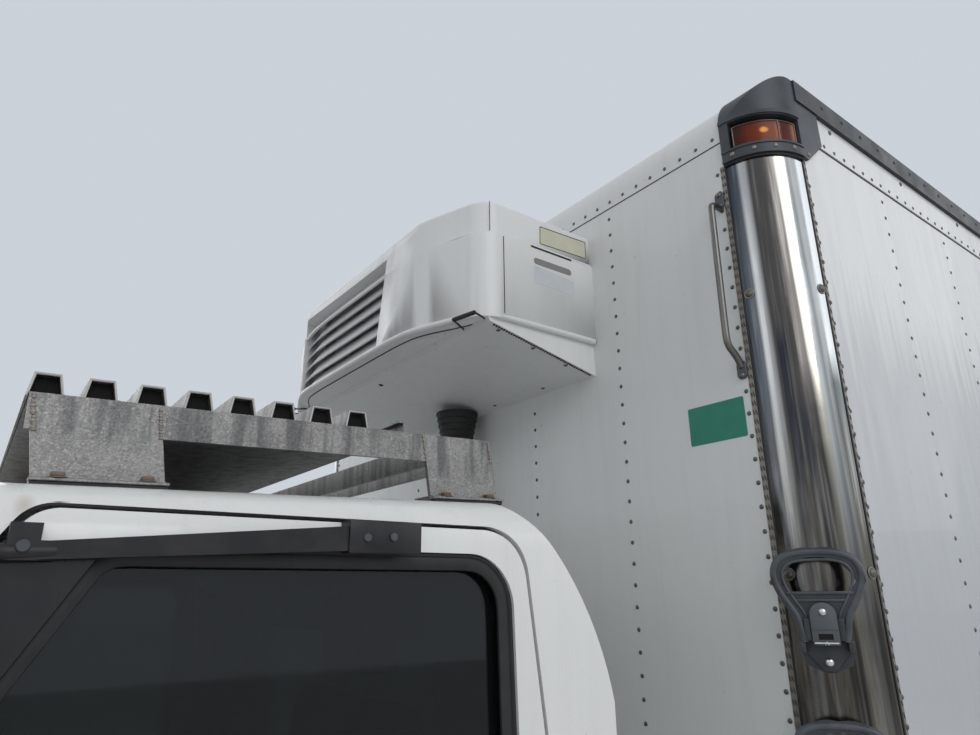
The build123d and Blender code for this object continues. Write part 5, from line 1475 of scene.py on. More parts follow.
class TRUCK_OT_wheels(bpy.types.Operator):
    """Tyres with tread, wheel nuts, hub caps, valves and balance weights"""

    bl_idname = "truck.wheels"
    bl_label = "Wheels"

    def execute(self, context):
        tread, sipes = tyre_shapes()
        toward = turn_by(-90, "X")
        nut = joined(
            "nut", [knob(0.0185, 0.0225, 6, 0.002), knob(0.0215, 0.0045, 20, 0.0012), knob(0.0105, 0.033, 12, 0.0015)])
        small = joined("small", [knob(0.0085, 0.008, 6, 0.001), knob(0.011, 0.002, 16, 0.0005)])
        nut.data.transform(shift_by((0, 0, 0.1325)) @ toward)
        cap_bolt, hub_bolt = copied(
            small, shift_by((0, 0, 0.0585)) @ toward), copied(small, shift_by((0, 0, 0.0925)) @ toward)
        weight = slab((-0.03, 0.0, 0.2995), (0.03, 0.009, 0.301), 0.0006)
        valve = wire(
            [(0, -0.052, 0.262), (0, -0.02, 0.256), (0, 0.03, 0.25), (0, 0.058, 0.249)], 0.004, smooth=True, sides=2)
        tip = knob(0.0058, 0.02, 10, 0.001)
        tip.data.transform(shift_by((0, 0.052, 0.249)) @ toward)
        window = turned([(0.0, 0.0), (0.036, 0.0), (0.033, 0.0075), (0.0, 0.011)], ORIGIN, LEFT, UP, 32)
        lip = turned(
            [(0.036, -0.002), (0.069, -0.002), (0.069, 0.0035), (0.044, 0.0045), (0.04, 0.01), (0.036, 0.01)], ORIGIN,
            LEFT, UP, 40)
        band = turned([(0.069, -0.046), (0.0735, -0.046), (0.0735, -0.038), (0.069, -0.038)], ORIGIN, LEFT, UP, 40)
        nuts, caps = joined("nuts", ring_of(nut, 10, 18)), joined("caps", ring_of(cap_bolt, 6))
        flange, studs = joined("flange", ring_of(cap_bolt, 8)), joined("studs", ring_of(hub_bolt, 10, 9))
        # name, shapes, how far out from the tyre's middle, finish, slot
        front = (
            ("wheel_nuts", [nuts], 0.0615, "bright_steel", "bumper_steel"),
            ("hub_cap", [lip, band], 0.112, "bumper_steel", "bumper_steel"),
            ("hub_window", [window], 0.112, "cup_shade", "dark_plastic"),
            ("cap_bolts", [caps], 0.1145, "bolt_steel", "bumper_steel"),
            ("valve", [valve], 0.02, "bolt_steel", "bumper_steel"),
            ("valve_cap", [tip], 0.02, "black_rubber", "black_rubber"),
            ("balance_weight", [weight], 0.098, "bolt_steel", "wheel_paint"),
        )
        rear = (
            ("wheel_nuts", [nuts], 0.0115, "bright_steel", "bumper_steel"),
            ("flange_bolts", [flange], 0.1898, "bolt_steel", "bumper_steel"),
            ("hub_bolts", [studs], 0.1298, "bolt_steel", "bumper_steel"),
            ("valve", [valve], 0.098, "bolt_steel", "bumper_steel"),
            ("valve_cap", [tip], 0.098, "black_rubber", "black_rubber"),
        )
        for side, sign in (("left", 1), ("right", -1)):
            mirror = Matrix.Diagonal((1, sign, 1, 1))

            def put(name, shapes, x, ys, finish, slot, body):
                spots = [copied(shape, mirror @ shift_by((x, y, TYRE_R))) for shape in shapes for y in ys]
                return finish_piece(joined(f"{name}_{side}", spots), finish, body, slot)

            x, y = FRONT_AXLE
            body = f"front_wheel_{side}"
            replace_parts(put("front_tyre_tread", [tread], x, [y], "tyre", "tyre", body), f"front_tyre_{side}")
            # the sipes are near-black marks: painted shade in the tread's cuts
            put("front_tyre_sipes", [sipes], x, [y], "dark_void", "tyre", body)
            for name, shapes, out, finish, slot in front:
                put(f"front_{name}", shapes, x, [y + out], finish, slot, body)
            x, y = REAR_AXLE
            body, pair = f"rear_wheels_{side}", [y - DUAL_HALF, y + DUAL_HALF]
            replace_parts(put("rear_tyre_tread", [tread], x, pair, "tyre", "tyre", body), f"rear_tyres_{side}")
            # near-black sipe marks: painted shade in the tread's cuts
            put("rear_tyre_sipes", [sipes], x, pair, "dark_void", "tyre", body)
            for name, shapes, out, finish, slot in rear:
                put(f"rear_{name}", shapes, x, [y + out], finish, slot, body)
        drop(
            tread, sipes, nut, small, cap_bolt, hub_bolt, weight, valve, tip, window, lip, band, nuts, caps, flange,
            studs)
        return {"FINISHED"}


# Cab

CAB_HALF, DOOR_TOP, BELT_Z = 1.036, 2.351, 1.64
WINDOW = [(2.131, 1.66), (2.935, 1.66), (2.935, 1.935), (2.715, 2.308), (2.131, 2.308)]
WINDOW_RADII = [0.055, 0.055, 0.055, 0.055, 0.08]
DOORWAY = [(2.075, 1.076), (3.005, 1.076), (3.005, 1.976), (2.784, 2.351), (2.105, 2.351), (2.075, 2.051)]
DOORWAY_RADII = [0.03, 0.03, 0.06, 0.045, 0.08, 0.06]


def skin_y(z):
    """How far out the cab side stands at a height."""
    return CAB_HALF - 0.024 * max(0.0, z - BELT_Z) / 0.63


def inset_outline(points, radii, inset, steps=6):
    """A rounded outline drawn the same distance inside another, as (x, z)."""
    outline = rounded(points, radii, steps)
    count = len(outline)
    moved = []
    for k, here in enumerate(outline):
        along = (Vector(outline[(k + 1) % count]) - Vector(outline[k - 1])).normalized()
        moved.append((here[0] - along.y * inset, here[1] + along.x * inset))
    return moved


DOORS = ("cab_door_left", "cab_door_right")


class TRUCK_OT_cab_trim(bpy.types.Operator):
    """Window gaskets, door seals, handles, mirror bolts, roof lamps and cab mouldings"""

    bl_idname = "truck.cab_trim"
    bl_label = "Cab trim"

    def execute(self, context):
        gasket = wire(
            [(x, skin_y(z) - 0.0095, z) for x, z in inset_outline(WINDOW, WINDOW_RADII, 0.0125)], 0.013, closed=True,
            sides=3)
        lip = wire(
            [(x, skin_y(z) - 0.0065, z) for x, z in inset_outline(WINDOW, WINDOW_RADII, 0.003)], 0.0042, closed=True,
            sides=2)
        for vertex in gasket.data.vertices:
            middle = skin_y(vertex.co.z) - 0.0095
            vertex.co.y = middle + (vertex.co.y - middle) * 0.42
        pair("window_gasket", [gasket, lip], "gasket", DOORS, "black_rubber")
        inner = wire(
            [(x, skin_y(z) - 0.0625, z) for x, z in inset_outline(WINDOW, WINDOW_RADII, 0.004)], 0.0075, closed=True,
            sides=2)
        channel = [slab((2.135, skin_y(1.66) - 0.045, 1.662), (2.932, skin_y(1.66) - 0.031, 1.676), 0.002)]
        pair("window_seal", [inner] + channel, "black_rubber", DOORS)
        corner = [(2.704, 2.3085), (2.801, 2.3085), (2.9985, 1.973), (2.9985, 1.93), (2.927, 1.922)]
        cover = plate([(x, skin_y(z) - 0.001, z) for x, z in rounded(corner, 0.004, 3)], (0, 0.003, 0), 0.0008)
        pair("window_corner_plate", [cover], "gloss_black", DOORS, "dark_plastic")
        seal = wire(
            [(x, skin_y(z) - 0.02, z) for x, z in inset_outline(DOORWAY, DOORWAY_RADII, 0.001)], 0.0028, closed=True,
            sides=2)
        pair("door_seal", [seal], "black_rubber")

        recess = plate_y(CAB_HALF - 0.0005, rounded_box((2.128, 1.56), (2.268, 1.618), 0.014), 0.0035, 0.001)
        grip = wire(
            [
                (2.142, CAB_HALF + 0.004, 1.59), (2.148, CAB_HALF + 0.019, 1.59), (2.185, CAB_HALF + 0.022, 1.59),
                (2.226, CAB_HALF + 0.02, 1.59), (2.232, CAB_HALF + 0.004, 1.59)],
            0.0068, smooth=True, sides=3)
        pair("door_handle", [recess, grip], "black_steel", DOORS, "black_steel")
        lock = seated(knob(0.0105, 0.0035, 20, 0.0008), (2.25, CAB_HALF + 0.003, 1.59), LEFT)
        pair("door_lock", [lock], "bright_steel", DOORS, "bumper_steel")

        crease = [slab((2.1, skin_y(1.5) - 0.0006, 1.5), (2.985, skin_y(1.5) + 0.0024, 1.508), 0.001)]
        crease += [
            slab((2.1, CAB_HALF - 0.0006, z), (2.985, CAB_HALF + 0.003, z + 0.012), 0.0014) for z in (1.12, 1.236)]
        pair("door_creases", crease, "cab_paint", DOORS)
        guard = slab((2.12, CAB_HALF - 0.0004, 1.09), (2.975, CAB_HALF + 0.0012, 1.116), 0.0005)
        pair("door_kick_strip", [guard], "black_rubber", DOORS)

        panel = plate_y(0.9455, rounded_box((2.125, 1.115), (2.945, 1.6), 0.05), -0.006, 0.0025, 2)
        pull = wire(
            [
                (2.33, 0.938, 1.48), (2.335, 0.905, 1.482), (2.44, 0.896, 1.486), (2.56, 0.905, 1.49),
                (2.568, 0.938, 1.492)],
            0.011, smooth=True, sides=3)
        rest = slab((2.26, 0.893, 1.372), (2.7, 0.941, 1.412), 0.012, 3)
        pair("door_lining", [panel, pull, rest], "dark_plastic", DOORS)
        crank = [knob(0.018, 0.012, 16, 0.003)]
        crank[0].data.transform(shift_by((2.76, 0.94, 1.44)) @ aim(RIGHT))
        crank.append(wire([(2.76, 0.93, 1.44), (2.7, 0.924, 1.455), (2.66, 0.92, 1.45)], 0.0065, smooth=True))
        pair("window_crank", crank, "black_steel", DOORS)

        pins = []
        for z in (1.2, 1.45):
            for dz in (-0.0465, 0.0455):
                pins.append(seated(domed(0.007, 0.0038, 10, 6), (3.001, 1.048, z + dz), (0, 0, 1 if dz > 0 else -1)))
            for x, dz in ((2.95, -0.032), (2.95, 0.032), (3.04, 0.0)):
                pins.append(seated(domed(0.0065, 0.0028, 10, 6), (x, 1.0438, z + dz), LEFT))
        fixed = [p for p in pins if p.data.vertices[0].co.x > 3.02]
        moving = [p for p in pins if p not in fixed]
        pair("hinge_screws", moving, "bolt_steel", DOORS, "black_steel")
        pair("hinge_pillar_screws", fixed, "bolt_steel", slot="black_steel")

        bolts, clamps = [], []
        for x, z, sides in ((2.358, 2.3255, 6), (2.398, 2.3235, 6), (2.786, 2.301, 20)):
            bolts.append(seated(knob(0.0066, 0.0042, sides, 0.001), (x, CAB_HALF - 0.0022, z), LEFT))
        for z in (1.545, 1.575):
            for x in (2.885, 2.935):
                bolts.append(seated(knob(0.0075, 0.0045, 6, 0.001), (x, CAB_HALF + 0.0618, z), LEFT))
        pair("mirror_bolts", bolts, "step_casting", DOORS, "black_steel")
        for z in (1.79, 2.13, 1.68):
            clamps.append(
                turned(
                    [(0.0088, -0.014), (0.015, -0.012), (0.015, 0.012), (0.0088, 0.014)], (2.986, 1.28, z), UP, AHEAD,
                    20))
        clamps.append(slab((2.3125, 1.0312, 2.3035), (2.424, 1.0352, 2.3465), 0.003, 2))
        pair("mirror_clamps", clamps, "mirror_black", DOORS, "black_steel")
        faces = []
        for z, high, wide in ((1.96, 0.18, 0.088), (1.68, 0.044, 0.083)):
            outline = rounded_box((1.28 - wide, z - high), (1.28 + wide, z + high), 0.022)
            faces.append(plate_x(2.9372 if z > 1.8 else 2.9422, outline, -0.0012, 0.0003))
        pair("mirror_faces", faces, "mirror_glass", DOORS, "glass")

        for k, y in enumerate((-0.62, -0.21, 0.0, 0.21, 0.62)):
            x, z = 2.735, 2.4075 - 0.012 * abs(y)
            base = domed(0.048, 0.01, 20, 8)
            base.data.transform(shift_by((x, y, z - 0.004)) @ Matrix.Diagonal((1.35, 0.9, 1, 1)))
            lens = domed(0.036, 0.022, 20, 10)
            lens.data.transform(shift_by((x, y, z)) @ Matrix.Diagonal((1.45, 0.85, 1, 1)))
            piece(f"roof_lamp_base_{k}", [base], "dark_plastic")
            piece(f"roof_lamp_{k}", [lens], "amber_lens", slot="lamp_plastic")
        return {"FINISHED"}


# Seats

SEAT_X, SEAT_Y = 2.126, 0.5


def stuffed(size, swell, channels):
    """A cushion blown up by cloth pressure from a rounded block, with sewn channels pressed in afterwards."""
    half = [a / 2 for a in size]
    obj = slab([-h for h in half], half, 0.34 * min(size), 4)
    voxels = obj.modifiers.new("voxels", "REMESH")
    voxels.mode = "VOXEL"
    voxels.voxel_size = 0.0125
    apply_all(obj)
    before = [v.co.copy() for v in obj.data.vertices]
    cloth = obj.modifiers.new("cloth", "CLOTH")
    cloth.settings.quality = 5
    cloth.settings.use_pressure = True
    cloth.settings.uniform_pressure_force = 4.0
    cloth.settings.effector_weights.gravity = 0.0
    cloth.point_cache.frame_start, cloth.point_cache.frame_end = 1, 20
    for count in range(1, 21):
        bpy.context.scene.frame_set(count)
    apply_all(obj)
    bpy.context.scene.frame_set(1)
    for vertex, rest in zip(obj.data.vertices, before):
        move = vertex.co - rest
        vertex.co = rest + move * min(1.0, swell / max(move.length, 1e-6))
    smooth = obj.modifiers.new("smooth", "SUBSURF")
    smooth.levels = smooth.render_levels = 1
    apply_all(obj)
    for vertex in obj.data.vertices:
        inward = sum(0.008 * math.exp(-(((vertex.co[axis] - at) / 0.0075) ** 2)) for axis, at in channels)
        vertex.co -= vertex.normal * inward
    return obj


class TRUCK_OT_seats(bpy.types.Operator):
    """Two stuffed cab seats on bellows bases"""

    bl_idname = "truck.seats"
    bl_label = "Seats"

    def execute(self, context):
        tilt = turn_by(-10, "Y")
        pads = (
            (
                "cushion", (0.462, 0.482, 0.088), 0.01, ((1, -0.125), (1, 0.125), (0, -0.15)),
                shift_by((SEAT_X + 0.355, 0, 1.465))),
            (
                "back", (0.088, 0.452, 0.572), 0.01, ((1, -0.12), (1, 0.12), (2, 0.15), (2, -0.11)),
                shift_by((SEAT_X + 0.11, 0, 1.5)) @ tilt @ shift_by((0, 0, 0.29))),
            ("headrest", (0.072, 0.26, 0.146), 0.008, ((1, -0.085), (1, 0.085)), shift_by((SEAT_X + 0.012, 0, 2.172))))
        for name, size, swell, channels, place in pads:
            seed = stuffed(size, swell, channels)
            for side, y in (("left", SEAT_Y), ("right", -SEAT_Y)):
                pad = finish_piece(
                    joined(f"seat_{name}_{side}", [copied(seed, shift_by((0, y, 0)) @ place)]), "seat_fabric", smooth=80
                )
                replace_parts(pad, "seats")
            drop(seed)
        for side, y in (("left", SEAT_Y), ("right", -SEAT_Y)):
            x0 = SEAT_X + 0.14
            pleats = [
                slab(
                    (x0 + 0.012 * (k % 2), y - 0.226 + 0.01 * (k % 2), 1.15 + 0.031 * k),
                    (x0 + 0.35 - 0.012 * (k % 2), y + 0.226 - 0.01 * (k % 2), 1.182 + 0.031 * k), 0.01, 2)
                for k in range(7)]
            trays = slabs(
                [
                    ((x0 - 0.006, y - 0.236, 1.112), (x0 + 0.356, y + 0.236, 1.148)),
                    ((x0 - 0.004, y - 0.232, 1.366), (x0 + 0.354, y + 0.232, 1.412))],
                0.006, 2)
            posts = [
                wire([(SEAT_X + 0.012, y + s * 0.06, 2.052), (SEAT_X + 0.012, y + s * 0.06, 2.12)], 0.0072)
                for s in (-1, 1)]
            knobs = heads(
                [(x0 + 0.1 * k, y + 0.2375 * (1 if y > 0 else -1), 1.39) for k in (1, 2)], (0, 1 if y > 0 else -1, 0),
                0.012, 0.014)
            for name, shapes, finish, slot in (
                ("bellows", pleats, "black_rubber", None), ("trays", trays, "black_steel", None),
                ("posts", posts, "bright_steel", "handle_steel"), ("knobs", knobs, "dark_plastic", None)
            ):
                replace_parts(piece(f"seat_{name}_{side}", shapes, finish, slot=slot), "seats")
        return {"FINISHED"}


class TRUCK_OT_cab_inside(bpy.types.Operator):
    """Gauges, vents, controls, pedals, visors and floor mat"""

    bl_idname = "truck.cab_inside"
    bl_label = "Cab inside"

    def execute(self, context):
        dash_x = 2.931
        rings, faces, marks, hands = [], [], [], []
        for y, z, r in (
            (0.425, 1.535, 0.05), (0.575, 1.535, 0.05), (0.325, 1.56, 0.024), (0.325, 1.502, 0.024),
            (0.675, 1.56, 0.024), (0.675, 1.502, 0.024)
        ):
            turn = shift_by((dash_x, y, z))
            rings.append(
                turned(
                    [(r, 0.0), (r + 0.004, 0.0), (r + 0.0035, -0.007), (r + 0.001, -0.008), (r, -0.004)],
                    (dash_x, y, z), AHEAD, UP, 32))
            disc = knob(r + 0.0005, 0.0012, 32, 0.0003)
            disc.data.transform(turn @ aim(BACK))
            faces.append(disc)
            for k in range(9):
                tick = slab((-0.0021, -0.0006, r * 0.74), (-0.0011, 0.0006, r * 0.92), 0)
                tick.data.transform(turn @ turn_by(-120 + 30 * k, "X"))
                marks.append(tick)
            hand = slab((-0.0035, -0.0008, -r * 0.15), (-0.0024, 0.0008, r * 0.8), 0)
            hand.data.transform(turn @ turn_by(-70, "X"))
            hands.append(hand)
        piece("gauge_rings", rings, "bright_steel", slot="handle_steel")
        piece("gauge_faces", faces, "dark_void", slot="dark_plastic")
        piece("gauge_marks", marks, "label_pale", slot="dark_plastic")
        piece("gauge_hands", hands, "red_lens", slot="lamp_plastic")

        vents, slats = [], []
        for y in (-0.86, -0.2, 0.19, 0.86):
            vents += slabs(
                [
                    ((dash_x - 0.008, y - 0.055, z - 0.004), (dash_x + 0.002, y + 0.055, z + 0.004))
                    for z in (1.512, 1.582)],
                0.002)
            vents += slabs(
                [
                    ((dash_x - 0.008, y + s * 0.052 - 0.004, 1.51), (dash_x + 0.002, y + s * 0.052 + 0.004, 1.584))
                    for s in (-1, 1)],
                0.002)
            slats += slabs(
                [
                    ((dash_x - 0.006, y - 0.048, 1.522 + 0.0125 * k), (dash_x, y + 0.048, 1.526 + 0.0125 * k))
                    for k in range(5)],
                0.001)
        stack = slabs(
            [
                ((dash_x - 0.006, -0.115, 1.405), (dash_x + 0.002, 0.115, 1.5)),
                ((dash_x - 0.009, -0.095, 1.452), (dash_x - 0.005, 0.095, 1.492))],
            0.003, 2)
        lids = slabs([((dash_x - 0.004, -0.78, 1.42), (dash_x + 0.002, -0.33, 1.49))], 0.003, 2)
        piece("dash_vents", vents + stack + lids, "grille_plastic")
        piece("dash_vent_slats", slats, "dark_void", slot="dark_plastic")
        knobs = heads([(dash_x - 0.006, y, 1.428) for y in (-0.07, 0.0, 0.07)], BACK, 0.014, 0.016)
        knobs += heads([(dash_x, y, z) for y in (0.24, 0.26) for z in (1.425, 1.455)], BACK, 0.007, 0.01)
        piece("dash_knobs", knobs, "black_rubber")

        pedals = [
            slab((3.02, y - w, 1.19), (3.038, y + w, 1.29), 0.004, 2)
            for y, w in ((0.655, 0.026), (0.5, 0.04), (0.36, 0.04))]
        arms = [wire([(3.03, y, 1.28), (3.08, y, 1.345), (3.105, y, 1.38)], 0.008) for y in (0.655, 0.5, 0.36)]
        piece("pedals", pedals, "black_rubber")
        piece("pedal_arms", arms, "black_steel")
        boot = turned(
            [
                (0.0, 0.0), (0.085, 0.0), (0.08, 0.012), (0.055, 0.03), (0.058, 0.04), (0.038, 0.055), (0.04, 0.066),
                (0.018, 0.085), (0.0, 0.085)],
            (2.76, 0.0, 1.111), UP, AHEAD, 24)
        piece("gear_boot", [boot], "black_rubber")
        grip = domed(0.026, 0.03, 16, 10)
        grip.data.transform(shift_by((2.68, 0.0, 1.56)))
        under = seated(domed(0.026, 0.02, 16, 10), (2.68, 0.0, 1.56), DOWN)
        piece(
            "gear_lever",
            [wire([(2.76, 0, 1.15), (2.745, 0, 1.38), (2.69, 0, 1.47), (2.68, 0, 1.56)], 0.009, smooth=True)],
            "black_steel")
        piece("gear_grip", [grip, under], "dark_plastic")
        mats = [slab((2.64, s * 0.5 - 0.3, 1.1095), (3.01, s * 0.5 + 0.3, 1.1165), 0.004, 2) for s in (-1, 1)]
        ribs = [
            slab((2.66 + 0.03 * k, s * 0.5 - 0.27, 1.116), (2.668 + 0.03 * k, s * 0.5 + 0.27, 1.1195), 0.001)
            for k in range(11)
            for s in (-1, 1)]
        piece("floor_mats", mats + ribs, "black_rubber")
        visors = []
        for s in (-1, 1):
            visor = slab((-0.08, s * 0.5 - 0.27, -0.009), (0.08, s * 0.5 + 0.27, 0.009), 0.008, 3)
            visor.data.transform(shift_by((2.8, 0, 2.22)) @ turn_by(14, "Y"))
            visors.append(visor)
        piece("sun_visors", visors, "dark_plastic")
        return {"FINISHED"}


LAMP_Z = 0.86
AHEAD_OF_ALL = 5.0


class TRUCK_OT_cab_front(bpy.types.Operator):
    """Windscreen gasket, wipers, lamp bowls, grille edge, hood latches and bumper parts"""

    bl_idname = "truck.cab_front"
    bl_label = "Cab front"

    def execute(self, context):
        top, low = Vector((2.921, 0, 2.305)), Vector((3.313, 0, 1.64))
        down = (low - top).normalized()
        way = Vector((down.z, 0, -down.x))

        def on_glass(y, s, out):
            start_point = top + down * s - way * 0.3
            return touch("cab_glass", (start_point.x, y, start_point.z), way, out)

        length = (low - top).length
        a, b, w = 0.0375, length - 0.0495, 0.9645
        ys = [w - 2 * w * k / 16 for k in range(17)]
        loop = [(y, a) for y in ys] + [
            (-w, a + (b - a) * k / 6) for k in range(1, 6)
        ] + [(-y, b) for y in ys] + [(w, b - (b - a) * k / 6) for k in range(1, 6)]
        piece(
            "windscreen_gasket",
            [
                wire(
                    [on_glass(y * 0.9985, min(max(z, a + 0.001), b - 0.001), -0.001) for y, z in loop], 0.0105,
                    closed=True)],
            "gasket", slot="black_rubber")
        arms, blades, feet = [], [], []
        for pivot in (0.62, -0.3):
            tip_y, s0, s1 = pivot - 0.42, b - 0.03, b - 0.115
            arms.append(
                wire(
                    [
                        on_glass(pivot, s0, 0.03), on_glass(pivot - 0.05, s0 - 0.015, 0.034),
                        on_glass(pivot - 0.22, s1 + 0.01, 0.026)],
                    0.0055, smooth=True))
            blades.append(
                wire(
                    [on_glass(pivot + 0.1 - 0.06 * k, s1 + 0.035 - 0.004 * k, 0.009) for k in range(11)], 0.007, sides=2
                ))
            feet.append(seated(knob(0.02, 0.034, 16, 0.004), on_glass(pivot, s0, -0.002), -way))
        piece("wiper_arms", arms + feet, "black_steel")
        piece("wiper_blades", blades, "black_rubber")

        bowls, bulbs, cases = [], [], []
        r = 0.06
        for y in (0.735, 0.87):
            x = touch("headlamps", (AHEAD_OF_ALL, y, LAMP_Z), BACK).x - 0.064
            profile = [
                (0.008, -0.05), (0.03, -0.046), (0.05, -0.028), (r, 0.0), (r + 0.004, 0.0), (0.054, -0.032),
                (0.034, -0.052), (0.008, -0.056)]
            bowls.append(turned(profile, (x, y, LAMP_Z), AHEAD, UP, 32))
            bulbs.append(seated(domed(0.011, 0.03, 12, 8), (x - 0.05, y, LAMP_Z), AHEAD))
            cases.append(
                turned(
                    [(r + 0.0045, 0.003), (r + 0.0105, 0.003), (r + 0.0105, -0.004), (r + 0.0045, -0.004)],
                    (x, y, LAMP_Z), AHEAD, UP, 32))
        x = touch("headlamps", (AHEAD_OF_ALL, 1.01, LAMP_Z), BACK).x - 0.075
        signal = slab((x - 0.03, 0.96, 0.805), (x, 1.06, 0.915), 0.01, 3)
        back = slab((4.3, 0.655, 0.792), (4.318, 1.08, 0.928), 0.004)
        pair("lamp_bowls", bowls, "bright_steel", "hood", "bumper_steel")
        pair("lamp_bulbs", bulbs, "clear_lens", "hood", "lamp_glass")
        pair("lamp_bezels", cases + [back], "dark_plastic", "hood")
        pair("turn_signals", [signal], "amber_lens", "hood", "lamp_plastic")
        rim = rounded_box((-0.44, 0.76), (0.44, 1.11), 0.02, 4)
        edge = wire([touch("hood_shell", (AHEAD_OF_ALL, y, z), BACK, 0.001) for y, z in rim], 0.0085, closed=True)
        piece("grille_edge", [edge], "bumper_steel", "hood")
        latches = []
        for z in (1.13, 1.18):
            y = touch("hood_shell", (3.08, 2.0, z), RIGHT).y
            latches += slabs(
                [
                    ((3.05, y - 0.002, z - 0.012), (3.15, y + 0.01, z + 0.012))
                ] if z < 1.15 else [((3.046, y - 0.002, 1.112), (3.068, y + 0.018, 1.15))],
                0.004, 2)
        pair("hood_latches", latches, "black_rubber", "hood")

        bolts = []
        for y in (0.82, 1.02):
            for z in (0.475, 0.605):
                bolts.append(touch("front_bumper", (AHEAD_OF_ALL, y, z), BACK, -0.0005))
        pair("bumper_bolts", heads(bolts, AHEAD, 0.012, 0.007, 10), "bolt_steel", slot="bumper_steel")
        tag = plate_x(4.6, rounded_box((-0.152, 0.295), (0.152, 0.415), 0.01, 3), 0.003, 0.0006)
        piece("front_blank_plate", [tag], "label_pale", slot="bumper_steel")
        piece(
            "front_plate_arms",
            slabs([((4.595, y - 0.012, 0.38), (4.6, y + 0.012, 0.432)) for y in (-0.1, 0.1)], 0.001), "black_steel")
        spot = touch("front_bumper", (AHEAD_OF_ALL, 0.92, 0.54), BACK, -0.001)
        lens = seated(domed(0.04, 0.007, 24, 10), spot - Vector((0.006, 0, 0)), AHEAD)
        ring = turned(
            [(0.04, -0.004), (0.049, -0.004), (0.047, 0.003), (0.04, 0.003)], spot - Vector((0.003, 0, 0)), AHEAD, UP,
            32)
        pair("fog_lamps", [lens], "clear_lens", slot="lamp_glass")
        pair("fog_lamp_rings", [ring], "dark_plastic")
        return {"FINISHED"}


